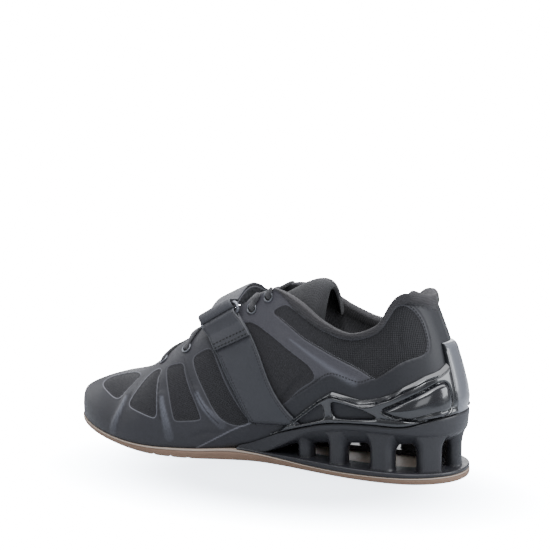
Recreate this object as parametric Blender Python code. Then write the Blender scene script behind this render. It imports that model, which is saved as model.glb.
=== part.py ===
"""Right weightlifting shoe: gum outsole, open heel frame, gloss heel cage, hollow upper, strap and laces.

Metres, +Z up. The origin is on the floor under the middle of the heel's round end,
+X runs to the toe and +Y to the inner (medial) side of the foot.
A place runs once round the shoe: 0 at the back of the heel, 15 at the toe tip along the inner side,
and on to 30 at the heel again along the outer side.
A level runs up the upper from 0 at the sole to 1 at its edge.
"""
import math

import bmesh
import bpy
import numpy as np

mm = 0.001

# Driving dimensions
shoe_length = 290 * mm
heel_back = 38 * mm  # origin to the rear edge of the sole
ball_width = 96 * mm
shoe_height = 126 * mm
heel_lift = 32.3 * mm  # floor to the seat of the heel frame
ball_gum = 7.6 * mm  # gum under the ball of the foot
toe_spring = 16 * mm
spring_start = 132 * mm  # origin to where the sole leaves the floor
spring_power = 1.8
gap = 0.3 * mm  # left between touching pieces
frame_weld = 0.05 * mm
lace_weld = 0.02 * mm

upper_wall = 2.0 * mm
overlay_step = 0.8 * mm
roll_outside = 1.6 * mm
roll_inside = 2.6 * mm
lasting_margin = 9 * mm
insole_thickness = 3.5 * mm
insole_clearance = 0.9 * mm

frame_front = 118 * mm  # origin to the tip of the frame's wedge
frame_plate = 3.0 * mm  # lower plate of the heel frame
frame_inset = 2.0 * mm  # upper plate of the heel frame, in from the sole's edge
skirt_width = 7.0 * mm  # sloping underside between the skirt and the pillars
rim_width = 2.2 * mm
window_border = 18 * mm  # plate left round the opening of the lower plate
window_front = 78 * mm
pillar_flare = 1.18
pillar_sides = 10

cage_thickness = 2.0 * mm
cage_rim = 3.6 * mm
cage_bar = 3.0 * mm
cage_rim_height = 4.6 * mm
cage_bar_height = 3.4 * mm
cage_bulge = 2.2 * mm
spine_thickness = 4.2 * mm
cage_top = 90 * mm

strap_thickness = 1.8 * mm
ring_wire = 1.4 * mm
ring_clearance = 2.5 * mm  # straight rod past each edge of the strap
ring_half_width = 5.0 * mm
ring_corner = 3.0 * mm
ring_lean = 0.25  # share of the surface's normal in the direction that the ring stands
strap_return = 18 * mm  # doubled end sewn down below the ring

lace_width = 4.2 * mm
lace_sides = 5
eyelet_radius = 3.3 * mm
eyelet_wire = 0.7 * mm
tongue_thickness = 5.5 * mm

# Edge of the sole: along in shares of shoe_length, the two sides in shares of ball_width
OUTLINE_COLUMNS = ("along", "medial", "lateral")
OUTLINE = (
    (0.000, 0.000, 0.000),
    (0.012, 0.165, 0.160),
    (0.048, 0.297, 0.288),
    (0.103, 0.382, 0.372),
    (0.172, 0.408, 0.402),
    (0.255, 0.394, 0.396),
    (0.338, 0.347, 0.381),
    (0.421, 0.294, 0.376),
    (0.497, 0.275, 0.394),
    (0.579, 0.333, 0.441),
    (0.662, 0.433, 0.479),
    (0.745, 0.500, 0.472),
    (0.834, 0.472, 0.398),
    (0.917, 0.377, 0.270),
    (0.976, 0.234, 0.095),
    (1.000, 0.073, -0.073),
)

# Gum thickness in shares of ball_gum
GUM_COLUMNS = ("along", "gum")
GUM = (
    (0.00, 0.59),
    (0.42, 0.59),
    (0.49, 0.79),
    (0.55, 1.00),
    (0.62, 0.92),
    (0.68, 0.84),
    (0.74, 0.71),
    (0.80, 0.52),
    (0.85, 0.40),
    (0.90, 0.32),
    (1.00, 0.34),
)

# Heel frame heights above the floor in shares of heel_lift
FRAME_COLUMNS = ("along", "rim", "seat", "skirt", "under")
FRAME = (
    (0.000, 1.39, 1.000, 0.985, 0.800),
    (0.048, 1.31, 1.000, 0.985, 0.800),
    (0.103, 1.17, 1.000, 0.990, 0.775),
    (0.193, 1.16, 1.000, 1.000, 0.735),
    (0.255, 1.115, 0.975, 0.965, 0.666),
    (0.303, 1.05, 0.910, 0.885, 0.605),
    (0.352, 0.93, 0.810, 0.765, 0.535),
    (0.393, 0.81, 0.690, 0.585, 0.475),
    (0.434, 0.68, 0.576, 0.400, 0.325),
    (0.469, 0.54, 0.460, 0.250, 0.225),
    (0.510, 0.385, 0.335, 0.215, 0.200),
    (0.540, 0.315, 0.288, 0.190, 0.180),
    (0.590, 0.230, 0.215, 0.170, 0.160),
)

# Pillars of the heel frame, (along, side, radius): along in shares of shoe_length, the others of ball_width
PILLARS = (
    (0.369, 0.222, 0.060),
    (0.276, 0.285, 0.070),
    (0.166, 0.305, 0.088),
    (0.066, 0.225, 0.086),
)
REAR_PILLAR = (0.033, 0.0, 0.058)

# Upper at each whole place. Insets and swells are in mm of the real last,
# top_along is a share of shoe_length, top_side of ball_width, top_height of shoe_height,
# low_rise and high_drop are shares of the height between sole and edge.
UPPER_COLUMNS = (
    "inset", "top_along", "top_side", "top_height",
    "low_swell", "low_rise", "high_swell", "high_drop", "guard", "stay",
)
UPPER = (
    (4.5, 0.095, 0.000, 0.964, 2.5, 0.31, 12.0, 0.295, 0.86, 0.90),
    (4.5, 0.100, 0.104, 0.964, 2.5, 0.31, 11.0, 0.290, 0.86, 0.91),
    (4.5, 0.116, 0.193, 0.956, 3.0, 0.31, 8.0, 0.290, 0.53, 0.92),
    (4.5, 0.145, 0.260, 0.917, 4.0, 0.32, 6.0, 0.300, 0.42, 0.92),
    (4.5, 0.183, 0.307, 0.817, 4.5, 0.33, 4.5, 0.320, 0.345, 0.92),
    (4.5, 0.245, 0.328, 0.770, 5.0, 0.33, 4.0, 0.330, 0.28, 0.93),
    (4.5, 0.314, 0.313, 0.821, 6.0, 0.33, 5.0, 0.330, 0.26, 0.93),
    (4.2, 0.383, 0.260, 0.913, 9.0, 0.30, 7.0, 0.350, 0.17, 0.93),
    (3.6, 0.452, 0.177, 0.948, 12.0, 0.30, 10.0, 0.300, 0.15, 0.80),
    (2.4, 0.538, 0.151, 0.853, 9.0, 0.33, 16.0, 0.200, 0.22, 0.74),
    (1.3, 0.628, 0.130, 0.734, 5.0, 0.38, 18.0, 0.130, 0.20, 0.66),
    (1.0, 0.717, 0.104, 0.591, 2.5, 0.45, 20.0, 0.080, 0.24, 0.62),
    (1.0, 0.810, 0.000, 0.444, 1.5, 0.52, 24.0, 0.030, 0.40, 0.70),
    (1.0, 0.890, 0.031, 0.391, 1.5, 0.60, 22.0, 0.000, 0.58, 0.80),
    (1.0, 0.948, 0.052, 0.345, 1.5, 0.60, 15.0, 0.000, 0.70, 0.88),
    (1.0, 0.983, 0.068, 0.290, 1.0, 0.55, 7.0, 0.000, 0.78, 0.92),
)
throat_end = 12  # place where the two eyestays meet
toe_fade = 13.2  # place where the eyestay's step starts to fade into the toe
roll_end = 8  # place where the collar roll ends at the top eyelets

# Top edge of the heel cage by place, heights in shares of cage_top
CAGE_COLUMNS = ("place", "top")
CAGE = (
    (0.00, 1.000),
    (0.80, 1.000),
    (0.90, 0.860),
    (1.40, 0.820),
    (2.20, 0.785),
    (3.00, 0.716),
    (3.50, 0.655),
    (4.00, 0.613),
    (4.50, 0.594),
    (5.00, 0.618),
    (5.40, 0.634),
    (5.75, 0.578),
    (6.00, 0.521),
    (6.30, 0.458),
    (6.60, 0.392),
    (6.90, 0.318),
    (7.20, 0.262),
)

# Openings in the cage's sides, corners by along (shoe_length) and height (cage_top)
CAGE_WINDOWS = (
    ((0.388, 0.345), (0.309, 0.520), (0.303, 0.432)),
    ((0.287, 0.545), (0.279, 0.452), (0.180, 0.470), (0.198, 0.520)),
)

# Tongue's top surface: along of shoe_length, height of shoe_height, half_width and drop of ball_width
TONGUE_COLUMNS = ("along", "height", "half_width", "drop")
TONGUE = (
    (0.780, 0.458, 0.125, 0.030),
    (0.717, 0.558, 0.200, 0.065),
    (0.628, 0.690, 0.215, 0.115),
    (0.538, 0.804, 0.205, 0.135),
    (0.476, 0.882, 0.175, 0.125),
    (0.428, 0.938, 0.125, 0.100),
    (0.379, 0.985, 0.180, 0.120),
    (0.338, 0.990, 0.175, 0.120),
    (0.307, 0.940, 0.150, 0.085),
)

# Eyelet pairs from the toe to the ankle, by place and level
EYELETS = ((11.18, 0.83), (10.40, 0.82), (8.66, 0.88), (8.25, 0.92))

# Front and rear edges of the straps on either side: place = start + slope * level, up to the top level
STRAP_COLUMNS = ("start", "slope", "top")
STRAP = (
    (7.75, 2.65, 0.84),
    (6.30, 3.00, 0.91),
)
strap_low_level = 0.17
pull_lift_level = 0.50  # where the pull strap starts to rise over the laces
pull_top_level = 0.97
pull_return = 0.16  # levels that the free end runs down the outer side
pull_crown = 4.2 * mm
pull_wrap = (-2.5, -5.6)  # turn about the ring's upper bar from first touch to last


def column(rows, columns, name):
    """One named column of a table."""
    return np.array([row[columns.index(name)] for row in rows], float)


def unit(vector):
    """Direction of a vector."""
    vector = np.asarray(vector, float)
    return vector / np.linalg.norm(vector)


def curve(xs, ys, at):
    """Smooth curve through the points (xs, ys), read at the given places."""
    xs, ys, at = (np.asarray(v, float) for v in (xs, ys, at))
    step = np.diff(xs)
    rise = np.diff(ys) / step
    slope = np.empty_like(ys)
    slope[1:-1] = (rise[:-1] * step[1:] + rise[1:] * step[:-1]) / (step[1:] + step[:-1])
    slope[0], slope[-1] = rise[0], rise[-1]
    k = np.clip(np.searchsorted(xs, at, side="right") - 1, 0, len(xs) - 2)
    h = step[k]
    f = np.clip((at - xs[k]) / h, 0, 1)
    start = ys[k] * (1 + 2 * f) * (1 - f) ** 2 + slope[k] * h * f * (1 - f) ** 2
    return start + ys[k + 1] * f ** 2 * (3 - 2 * f) - slope[k + 1] * h * f ** 2 * (1 - f)


def smoothstep(value):
    """Soft ramp from 0 to 1."""
    f = np.clip(value, 0, 1)
    return f * f * (3 - 2 * f)


last_place = len(OUTLINE) - 1
whole_loop = 2 * last_place
loop_along = column(OUTLINE, OUTLINE_COLUMNS, "along")
loop_x = np.concatenate([loop_along, loop_along[-2:0:-1]]) * shoe_length - heel_back
loop_y = ball_width * np.concatenate([
    column(OUTLINE, OUTLINE_COLUMNS, "medial"), -column(OUTLINE, OUTLINE_COLUMNS, "lateral")[-2:0:-1]])


def loop_curve(values, place):
    """Closed Catmull-Rom curve through one value for each whole place."""
    n = len(values)
    place = np.asarray(place, float) % n
    k = np.floor(place).astype(int)
    f = place - k
    a, b, c, d = (values[(k + i) % n] for i in (-1, 0, 1, 2))
    return 0.5 * (2 * b + (c - a) * f + (2 * a - 5 * b + 4 * c - d) * f ** 2 + (3 * b - a - 3 * c + d) * f ** 3)


def sole_edge(place, inset=0.0):
    """Plan points of the sole's edge moved inward by inset, with their outward directions."""
    place = np.asarray(place, float)
    step = 0.01
    dx = loop_curve(loop_x, place + step) - loop_curve(loop_x, place - step)
    dy = loop_curve(loop_y, place + step) - loop_curve(loop_y, place - step)
    length = np.hypot(dx, dy)
    nx, ny = -dy / length, dx / length
    return loop_curve(loop_x, place) - nx * inset, loop_curve(loop_y, place) - ny * inset, nx, ny


def station(place):
    """Whole or part place counted from the heel on either side, 0 to 15."""
    place = np.asarray(place, float) % whole_loop
    return np.where(place > last_place, whole_loop - place, place)


def share_along(x):
    """Share of the shoe's length at x."""
    return (np.asarray(x, float) + heel_back) / shoe_length


def spring(x):
    """Height of the sole's underside above the floor."""
    run = shoe_length - heel_back - spring_start
    return toe_spring * np.clip((np.asarray(x, float) - spring_start) / run, 0, None) ** spring_power


def gum_top(x):
    """Height of the outsole's upper face."""
    share = curve(column(GUM, GUM_COLUMNS, "along"), column(GUM, GUM_COLUMNS, "gum"), share_along(x))
    return ball_gum * share + spring(x)


def frame_height(name, x):
    """Height of one line of the heel frame."""
    share = curve(column(FRAME, FRAME_COLUMNS, "along"), column(FRAME, FRAME_COLUMNS, name), share_along(x))
    return heel_lift * share


def seat(x):
    """Height of the face that the upper stands on: the heel frame, then the gum."""
    return np.maximum(frame_height("seat", x), gum_top(x))


def upper_row(name, places):
    """A column of the upper's table read at the given places."""
    return curve(np.arange(len(UPPER)), column(UPPER, UPPER_COLUMNS, name), station(places))


def upper_point(places, levels):
    """Point of the upper's face, a cubic from the sole's edge to the collar, throat or ridge."""
    places, levels = np.broadcast_arrays(np.asarray(places, float), np.asarray(levels, float))
    s = station(places)
    side = np.where(places % whole_loop > last_place, -1.0, 1.0)
    foot_x, foot_y, nx, ny = sole_edge(places, upper_row("inset", places) * mm)
    foot_z = seat(foot_x) + gap
    top_x = upper_row("top_along", places) * shoe_length - heel_back
    top_side = upper_row("top_side", places) * ball_width
    top_y = np.where(s > throat_end, top_side, side * np.maximum(top_side, 0))
    top_z = upper_row("top_height", places) * shoe_height
    height = top_z - foot_z
    dx, dy = foot_x - top_x, foot_y - top_y
    spread = np.maximum(np.hypot(dx, dy), 1e-9)
    near, far = 4 * mm, 16 * mm
    weight = smoothstep((spread - near) / (far - near))
    ux = nx * (1 - weight) + weight * dx / spread
    uy = ny * (1 - weight) + weight * dy / spread
    size = np.hypot(ux, uy)
    low = upper_row("low_swell", places) * mm
    high = upper_row("high_swell", places) * mm
    p0 = np.stack([foot_x, foot_y, foot_z], -1)
    p1 = np.stack([foot_x + nx * low, foot_y + ny * low, foot_z + height * upper_row("low_rise", places)], -1)
    p2 = np.stack([top_x + ux / size * high, top_y + uy / size * high,
                   top_z - height * upper_row("high_drop", places)], -1)
    p3 = np.stack([top_x, top_y, top_z], -1)
    f = levels[..., None]
    return p0 * (1 - f) ** 3 + 3 * p1 * f * (1 - f) ** 2 + 3 * p2 * f * f * (1 - f) + p3 * f ** 3


def upper_normal(places, levels):
    """Outward direction of the upper's face."""
    places, levels = np.broadcast_arrays(np.asarray(places, float), np.asarray(levels, float))
    step = 0.01
    level = np.clip(levels, step, 1 - step)
    along = upper_point(places + step, level) - upper_point(places - step, level)
    up = upper_point(places, level + step) - upper_point(places, level - step)
    normal = np.cross(up, along)
    return normal / np.linalg.norm(normal, axis=-1, keepdims=True)


def upper_offset(places, levels, distance):
    """Point at a distance outside the upper's face."""
    distance = np.asarray(distance, float)
    return upper_point(places, levels) + upper_normal(places, levels) * distance[..., None]


def level_offset(places, heights, distance):
    """Point at a distance outside the upper's face, kept at its height."""
    points = upper_offset(places, level_at(places, heights), distance)
    points[..., 2] = heights
    return points


def level_at(places, heights):
    """Level of the upper's face at a height."""
    levels = np.linspace(0, 1, 101)
    places, heights = np.broadcast_arrays(np.asarray(places, float), np.asarray(heights, float))
    found = np.empty(places.size)
    for i, (place, height) in enumerate(zip(places.ravel(), heights.ravel())):
        found[i] = np.interp(height, upper_point(place, levels)[:, 2], levels)
    return found.reshape(places.shape)


def make_object(name, points, faces, colour, roughness, metallic=0.0):
    """Closed mesh object with its own material."""
    mesh = bpy.data.meshes.new(name)
    shape = bmesh.new()
    corners = [shape.verts.new(p) for p in np.asarray(points, float).reshape(-1, 3)]
    for face in faces:
        unique = list(dict.fromkeys(int(i) for i in face))
        if len(unique) > 2:
            shape.faces.new([corners[i] for i in unique])
    bmesh.ops.remove_doubles(shape, verts=shape.verts, dist=1e-6)
    bmesh.ops.dissolve_degenerate(shape, edges=shape.edges, dist=1e-7)
    bmesh.ops.triangulate(shape, faces=[f for f in shape.faces if len(f.verts) > 3])
    bmesh.ops.recalc_face_normals(shape, faces=shape.faces)
    if shape.calc_volume(signed=True) < 0:
        bmesh.ops.reverse_faces(shape, faces=shape.faces)
    shape.to_mesh(mesh)
    shape.free()
    thing = bpy.data.objects.new(name, mesh)
    bpy.context.scene.collection.objects.link(thing)
    finish = bpy.data.materials.new(name)
    finish.use_nodes = True
    shader = finish.node_tree.nodes["Principled BSDF"]
    shader.inputs["Base Color"].default_value = (*colour, 1)
    shader.inputs["Roughness"].default_value = roughness
    shader.inputs["Metallic"].default_value = metallic
    mesh.materials.append(finish)
    return thing


def boolean(thing, other, operation):
    """Join or cut with another object, which is kept only as a hidden guide."""
    other.hide_render = True
    other.display_type = "WIRE"
    change = thing.modifiers.new(operation.lower(), "BOOLEAN")
    change.operation = operation
    change.solver = "EXACT"
    change.object = other
    return change


def weld(thing, distance):
    """Merge the very short edges that joins and cuts leave."""
    change = thing.modifiers.new("weld", "WELD")
    change.mode = "CONNECTED"
    change.merge_threshold = distance


def grid_faces(rows, columns, start=0, wrap=False):
    """Quads of a grid of points stored row by row."""
    last = columns if wrap else columns - 1
    return [(start + r * columns + c, start + r * columns + (c + 1) % columns,
             start + (r + 1) * columns + (c + 1) % columns, start + (r + 1) * columns + c)
            for r in range(rows - 1) for c in range(last)]


def slab(name, low, high, *finish):
    """Solid between two grids of the same shape."""
    rows, columns = low.shape[:2]
    count = rows * columns
    faces = grid_faces(rows, columns) + grid_faces(rows, columns, count)
    border = [(0, c) for c in range(columns)] + [(r, columns - 1) for r in range(1, rows)]
    border += [(rows - 1, c) for c in range(columns - 2, -1, -1)] + [(r, 0) for r in range(rows - 2, 0, -1)]
    ids = [r * columns + c for r, c in border]
    faces += [(a, b, b + count, a + count) for a, b in zip(ids, ids[1:] + ids[:1])]
    return make_object(name, np.concatenate([low.reshape(-1, 3), high.reshape(-1, 3)]), faces, *finish)


def wrapped(name, rings, *finish):
    """Solid from rings that run from one side of the shoe round the heel to the other, closed across."""
    rings = np.asarray(rings)
    count, n = rings.shape[:2]
    faces = grid_faces(count, n)
    for ring in (0, count - 1):
        faces += [(ring * n + k, ring * n + k + 1, ring * n + n - 2 - k, ring * n + n - 1 - k)
                  for k in range(n // 2)]
    if np.linalg.norm(rings[0, 0] - rings[0, -1]) > gap:
        faces += [(r * n, (r + 1) * n, (r + 1) * n + n - 1, r * n + n - 1) for r in range(count - 1)]
    return make_object(name, rings.reshape(-1, 3), faces, *finish)


def ring_at(places, inset, height):
    """Ring of points in from the sole's edge, at a height given as a function of x."""
    x, y, _, _ = sole_edge(places, inset)
    return np.stack([x, y, height(x)], -1)


def tube(name, points, radius, sides, *finish, closed=False):
    """Round rod along a path, with a frame that doesn't twist."""
    points = np.asarray(points, float)
    if closed:
        ahead = np.roll(points, -1, 0) - np.roll(points, 1, 0)
    else:
        ahead = np.gradient(points, axis=0)
    ahead /= np.linalg.norm(ahead, axis=1, keepdims=True)
    normal = np.cross(ahead[0], (0.3, 0.5, 0.8))
    turn = np.linspace(0, 2 * math.pi, sides, endpoint=False)
    rings = []
    for point, direction in zip(points, ahead):
        normal = normal - direction * np.dot(normal, direction)
        normal /= np.linalg.norm(normal)
        other = np.cross(direction, normal)
        rings.append(point + radius * (np.outer(np.cos(turn), normal) + np.outer(np.sin(turn), other)))
    count = len(rings)
    faces = grid_faces(count, sides, wrap=True)
    if closed:
        faces += [((count - 1) * sides + c, (count - 1) * sides + (c + 1) % sides, (c + 1) % sides, c)
                  for c in range(sides)]
    else:
        faces += [tuple(range(sides)), tuple(range((count - 1) * sides, count * sides))]
    return make_object(name, np.concatenate(rings), faces, *finish)


def add_outsole():
    """Gum plate with toe spring, slightly rounded along its lower edge."""
    places = np.linspace(-last_place, last_place, 73)
    bevel = 1.2 * mm
    rings = (
        ring_at(places, bevel, spring),
        ring_at(places, bevel * 0.25, lambda x: spring(x) + bevel * 0.4),
        ring_at(places, 0.0, lambda x: spring(x) + bevel),
        ring_at(places, 0.0, lambda x: gum_top(x) - bevel * 0.4),
        ring_at(places, bevel * 0.4, gum_top),
    )
    wrapped("outsole", rings, (0.27, 0.17, 0.11), 0.6)


def place_at_x(x):
    """Place on the inner side where the sole's edge passes x."""
    places = np.linspace(0, last_place, 601)
    return np.interp(x, loop_curve(loop_x, places), places)


def add_heel_frame():
    """Lower plate, sloping upper plate and nine pillars, moulded in one."""
    finish = ((0.035, 0.035, 0.040), 0.55)
    front = place_at_x(frame_front)
    places = np.linspace(-front, front, 33)
    plate_top = gum_top(0.0) + gap + frame_plate
    edge = 0.6 * mm

    def bottom(extra):
        return lambda x: gum_top(x) + gap + extra

    def plate_height(drop):
        def height(x):
            full = np.minimum(np.maximum(plate_top, bottom(2.5 * edge)(x)), seat(x) - gap)
            return np.maximum(full, bottom(1.7 * edge)(x)) - drop

        return height

    base = wrapped("heel_frame", (
        ring_at(places, edge, bottom(0.0)),
        ring_at(places, 0.0, bottom(0.5 * edge)),
        ring_at(places, 0.0, plate_height(0.5 * edge)),
        ring_at(places, edge, plate_height(0.0)),
    ), *finish)
    x, _, _, _ = sole_edge(places)
    fade = smoothstep((frame_front - x) / (60 * mm))
    inset = frame_inset * (0.25 + 0.75 * fade)
    under = inset + skirt_width * fade + gap

    def rim_ring(outward, drop):
        height = frame_height("rim", x) - drop
        out = overlay_step + 2 * gap + outward * (0.3 + 0.7 * fade)
        return level_offset(places, height, out)

    foot_x, foot_y, _, _ = sole_edge(places, upper_row("inset", places) * mm - 2 * gap - overlay_step)
    rings = np.array((
        ring_at(places, under, lambda x: np.maximum(frame_height("under", x), bottom(edge)(x))),
        ring_at(places, inset, lambda x: np.maximum(frame_height("skirt", x), bottom(1.2 * edge)(x))),
        rim_ring(rim_width, edge),
        rim_ring(rim_width * 0.7, 0.0),
        rim_ring(0.0, 0.0),
        np.stack([foot_x, foot_y, frame_height("seat", foot_x)], -1),
    ))
    rings[:, (0, -1), 0] = frame_front - gap
    rings[:, (0, -1), 1] = rings[0, (0, -1), 1]
    rings[1:, (0, -1), 2] = np.linspace(rings[1, (0, -1), 2], rings[-1, (0, -1), 2], len(rings) - 1)
    top = wrapped("frame_upper_plate", rings, *finish)
    boolean(base, top, "UNION").use_self = True
    rows = [(row, 1) for row in PILLARS] + [(row, -1) for row in PILLARS] + [(REAR_PILLAR, 1)]
    for number, ((along, side, radius), hand) in enumerate(rows, 1):
        x = along * shoe_length - heel_back
        low = plate_top - 0.5 * frame_plate
        high = float(frame_height("under", x)) + 1.5 * mm
        rings = []
        for share, size in ((0, 1.0), (0.72, 1.0), (1, pillar_flare)):
            turn = np.linspace(0, 2 * math.pi, pillar_sides, endpoint=False)
            r = radius * ball_width * size
            rings.append(np.stack([x + r * np.cos(turn), hand * side * ball_width + r * np.sin(turn),
                                   np.full(pillar_sides, low + (high - low) * share)], -1))
        faces = grid_faces(3, pillar_sides, wrap=True)
        faces += [tuple(range(pillar_sides)), tuple(range(2 * pillar_sides, 3 * pillar_sides))]
        pillar = make_object(f"pillar_cutter_{number}", np.concatenate(rings), faces, *finish)
        boolean(base, pillar, "UNION")
    opening_end = place_at_x(window_front)
    opening = np.linspace(-opening_end, opening_end, 31)
    cutter = wrapped("plate_opening", (
        ring_at(opening, window_border, lambda x: x * 0 + gum_top(0.0) - frame_plate),
        ring_at(opening, window_border, lambda x: x * 0 + plate_top + 1 * mm),
    ), *finish)
    boolean(base, cutter, "DIFFERENCE")
    weld(base, frame_weld)


def add_heel_cage():
    """Gloss shell round the heel with a raised rim, two openings a side, a bulged panel and a spine."""
    heights = column(CAGE, CAGE_COLUMNS, "place"), column(CAGE, CAGE_COLUMNS, "top") * cage_top
    half = np.unique(np.concatenate([np.arange(0, 7.0, 0.36), [0.8, 7.05]]))
    places = np.concatenate([-half[:0:-1], half])
    top = np.interp(np.abs(places), *heights)
    x, _, _, _ = sole_edge(places)
    bottom = frame_height("rim", x) + gap
    tall = top - bottom
    bar = np.minimum(cage_bar_height, tall * 0.3)
    rim = np.minimum(cage_rim_height, tall * 0.35)
    spine = 1 - smoothstep((np.abs(places) - 0.75) / 0.25)
    bulge = cage_bulge * smoothstep((np.abs(places) - 1.0) / 0.5) * smoothstep((3.7 - np.abs(places)) / 1.2)
    panel = cage_thickness + bulge
    middle = (bottom + bar + top - rim) / 2
    lines = (
        (bottom, cage_bar), (bottom + bar, cage_bar), (bottom + bar + 0.1 * tall, panel * 0.8),
        (middle, panel), (top - rim - 0.1 * tall, cage_thickness), (top - rim, cage_rim), (top, cage_rim * 0.8))
    low, high = [], []
    for height, thickness in lines:
        thickness = np.maximum(thickness * np.ones(len(places)), spine * spine_thickness)
        clear = np.full(len(places), overlay_step + gap)
        low.append(level_offset(places, height, clear))
        high.append(level_offset(places, height, clear + thickness))
    cage = slab("heel_cage", np.array(low), np.array(high), (0.012, 0.013, 0.016), 0.12)
    for number, corners in enumerate(CAGE_WINDOWS, 1):
        points = [(along * shoe_length - heel_back, y, height * cage_top)
                  for y in (-ball_width, ball_width) for along, height in corners]
        n = len(corners)
        faces = [tuple(range(n)), tuple(range(n, 2 * n))]
        faces += [(k, (k + 1) % n, (k + 1) % n + n, k + n) for k in range(n)]
        boolean(cage, make_object(f"cage_opening_{number}", points, faces, (0.0, 0.0, 0.0), 0.5), "DIFFERENCE")
    weld(cage, frame_weld)


def add_upper():
    """Hollow upper: one wall from the lasting margin up to the collar, throat and toe ridge."""
    count = 80
    places = np.arange(count) * whole_loop / count
    s = station(places)
    guard, stay = upper_row("guard", places), upper_row("stay", places)
    edge = 0.008
    free_low, free_high = guard + edge, stay - edge
    roll = 1 - smoothstep((s - roll_end + 0.5) / 0.8)
    eyestay = overlay_step * (1 - roll) * (1 - smoothstep(s - toe_fade))
    step = np.full(count, overlay_step)
    none = np.zeros(count)
    outer_lines = (
        (none, none), (guard * 0.12, step), (guard * 0.55, step), (guard - edge, step), (free_low, none),
        (free_low + (free_high - free_low) * 0.33, none), (free_low + (free_high - free_low) * 0.67, none),
        (free_high, none),
        (stay + edge, eyestay), (stay + (1 - stay) * 0.35, eyestay + roll_outside * roll * 0.9),
        (stay + (1 - stay) * 0.7, eyestay + roll_outside * roll), (none + 1, eyestay),
    )
    inner_lines = (
        (none, none), (none + 0.12, none), (none + 0.35, none), (none + 0.6, none), (none + 0.8, none),
        (none + 0.9, roll_inside * roll), (none + 1, roll_inside * roll * 0.4),
    )
    foot = upper_point(places, 0.0)
    x, y, nx, ny = sole_edge(places, upper_row("inset", places) * mm + lasting_margin)
    margin = np.stack([x, y, seat(x) + gap], -1)
    x, y, _, _ = sole_edge(places, upper_row("inset", places) * mm + upper_wall)
    corner = np.stack([x, y, seat(x) + gap + upper_wall], -1)
    ridge = s > throat_end - 0.01
    mirror = (-np.arange(count)) % count

    def pair(points):
        points = points.copy()
        shared = (points + points[mirror]) / 2
        points[ridge] = shared[ridge]
        return points

    outer = [margin]
    for number, (level, out) in enumerate(outer_lines):
        points = upper_offset(places, level, out) if number else foot
        outer.append(pair(points) if number == len(outer_lines) - 1 else points)
    inner = [margin + np.array((0, 0, upper_wall)), corner]
    for number, (level, inward) in enumerate(inner_lines[1:], 1):
        points = upper_offset(places, level, -(upper_wall + inward))
        if number == len(inner_lines) - 1:
            points = pair(points)
        inner.append(points)
    outer, inner = np.array(outer), np.array(inner)
    start = outer.shape[0] * count
    faces = grid_faces(outer.shape[0], count, wrap=True) + grid_faces(inner.shape[0], count, start, wrap=True)
    outer_top, inner_top = (outer.shape[0] - 1) * count, start + (inner.shape[0] - 1) * count
    for k in range(count):
        after = (k + 1) % count
        faces.append((k, after, start + after, start + k))
        if not (ridge[k] and ridge[after]):
            faces.append((outer_top + k, outer_top + after, inner_top + after, inner_top + k))
    make_object("upper", np.concatenate([outer.reshape(-1, 3), inner.reshape(-1, 3)]), faces,
                (0.055, 0.055, 0.062), 0.75)


def add_insole():
    """Foam sheet on the lasting margin."""
    places = np.linspace(-last_place, last_place, 61)
    inset = upper_row("inset", places) * mm + upper_wall + insole_clearance
    base = upper_wall + 2 * gap

    def lift(extra):
        return lambda x: seat(x) + base + extra

    wrapped("insole", (ring_at(places, inset, lift(0.0)), ring_at(places, inset, lift(insole_thickness))),
            (0.03, 0.03, 0.035), 0.9)


def add_tongue():
    """Padded tongue under the eyestays, arched across and thicker at its free end."""
    along = column(TONGUE, TONGUE_COLUMNS, "along") * shoe_length - heel_back
    height = column(TONGUE, TONGUE_COLUMNS, "height") * shoe_height
    rows = np.linspace(0, len(TONGUE) - 1, 15)
    index = np.arange(len(TONGUE))
    x, z = curve(index, along, rows), curve(index, height, rows)
    half = curve(index, column(TONGUE, TONGUE_COLUMNS, "half_width"), rows) * ball_width
    drop = curve(index, column(TONGUE, TONGUE_COLUMNS, "drop"), rows) * ball_width
    across = np.linspace(-1, 1, 9)
    dx, dz = np.gradient(x), np.gradient(z)
    size = np.hypot(dx, dz)
    nx, nz = -dz / size, dx / size
    down = np.stack([nx, nz], 1) * -1
    down[down[:, 1] > 0] *= -1
    thick = tongue_thickness * (0.55 + 0.45 * smoothstep(rows / 6))
    high = np.empty((len(rows), len(across), 3))
    high[..., 0] = x[:, None]
    high[..., 1] = half[:, None] * across
    high[..., 2] = z[:, None] - drop[:, None] * np.abs(across) ** 2.2
    low = high.copy()
    taper = 1 - 0.55 * np.abs(across) ** 3
    low[..., 0] += (down[:, 0] * thick)[:, None] * taper
    low[..., 2] += (down[:, 1] * thick)[:, None] * taper
    slab("tongue", low, high, (0.04, 0.04, 0.045), 0.9)


strap_start = column(STRAP, STRAP_COLUMNS, "start")
strap_slope = column(STRAP, STRAP_COLUMNS, "slope")
strap_top = column(STRAP, STRAP_COLUMNS, "top")
top_places = strap_start + strap_slope * strap_top
bar_height = overlay_step + gap + strap_thickness + gap + ring_wire
bar_ends = upper_offset(top_places, strap_top, np.full(2, bar_height))
ring_along = unit(bar_ends[1] - bar_ends[0])
strap_half_width = np.linalg.norm(bar_ends[1] - bar_ends[0]) / 2
ring_half_length = strap_half_width + ring_clearance + ring_corner
low_bar = bar_ends.mean(0)
bar_normal = upper_normal(top_places.mean(), strap_top.mean())
ring_over = np.cross(ring_along, bar_normal)
ring_over = unit(ring_over if ring_over[1] < 0 else -ring_over)
ring_up = unit(ring_over * (1 - ring_lean) + bar_normal * ring_lean)
ring_out = unit(bar_normal - ring_up * np.dot(bar_normal, ring_up) - ring_along * np.dot(bar_normal, ring_along))
high_bar = low_bar + ring_up * 2 * ring_half_width


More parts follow.
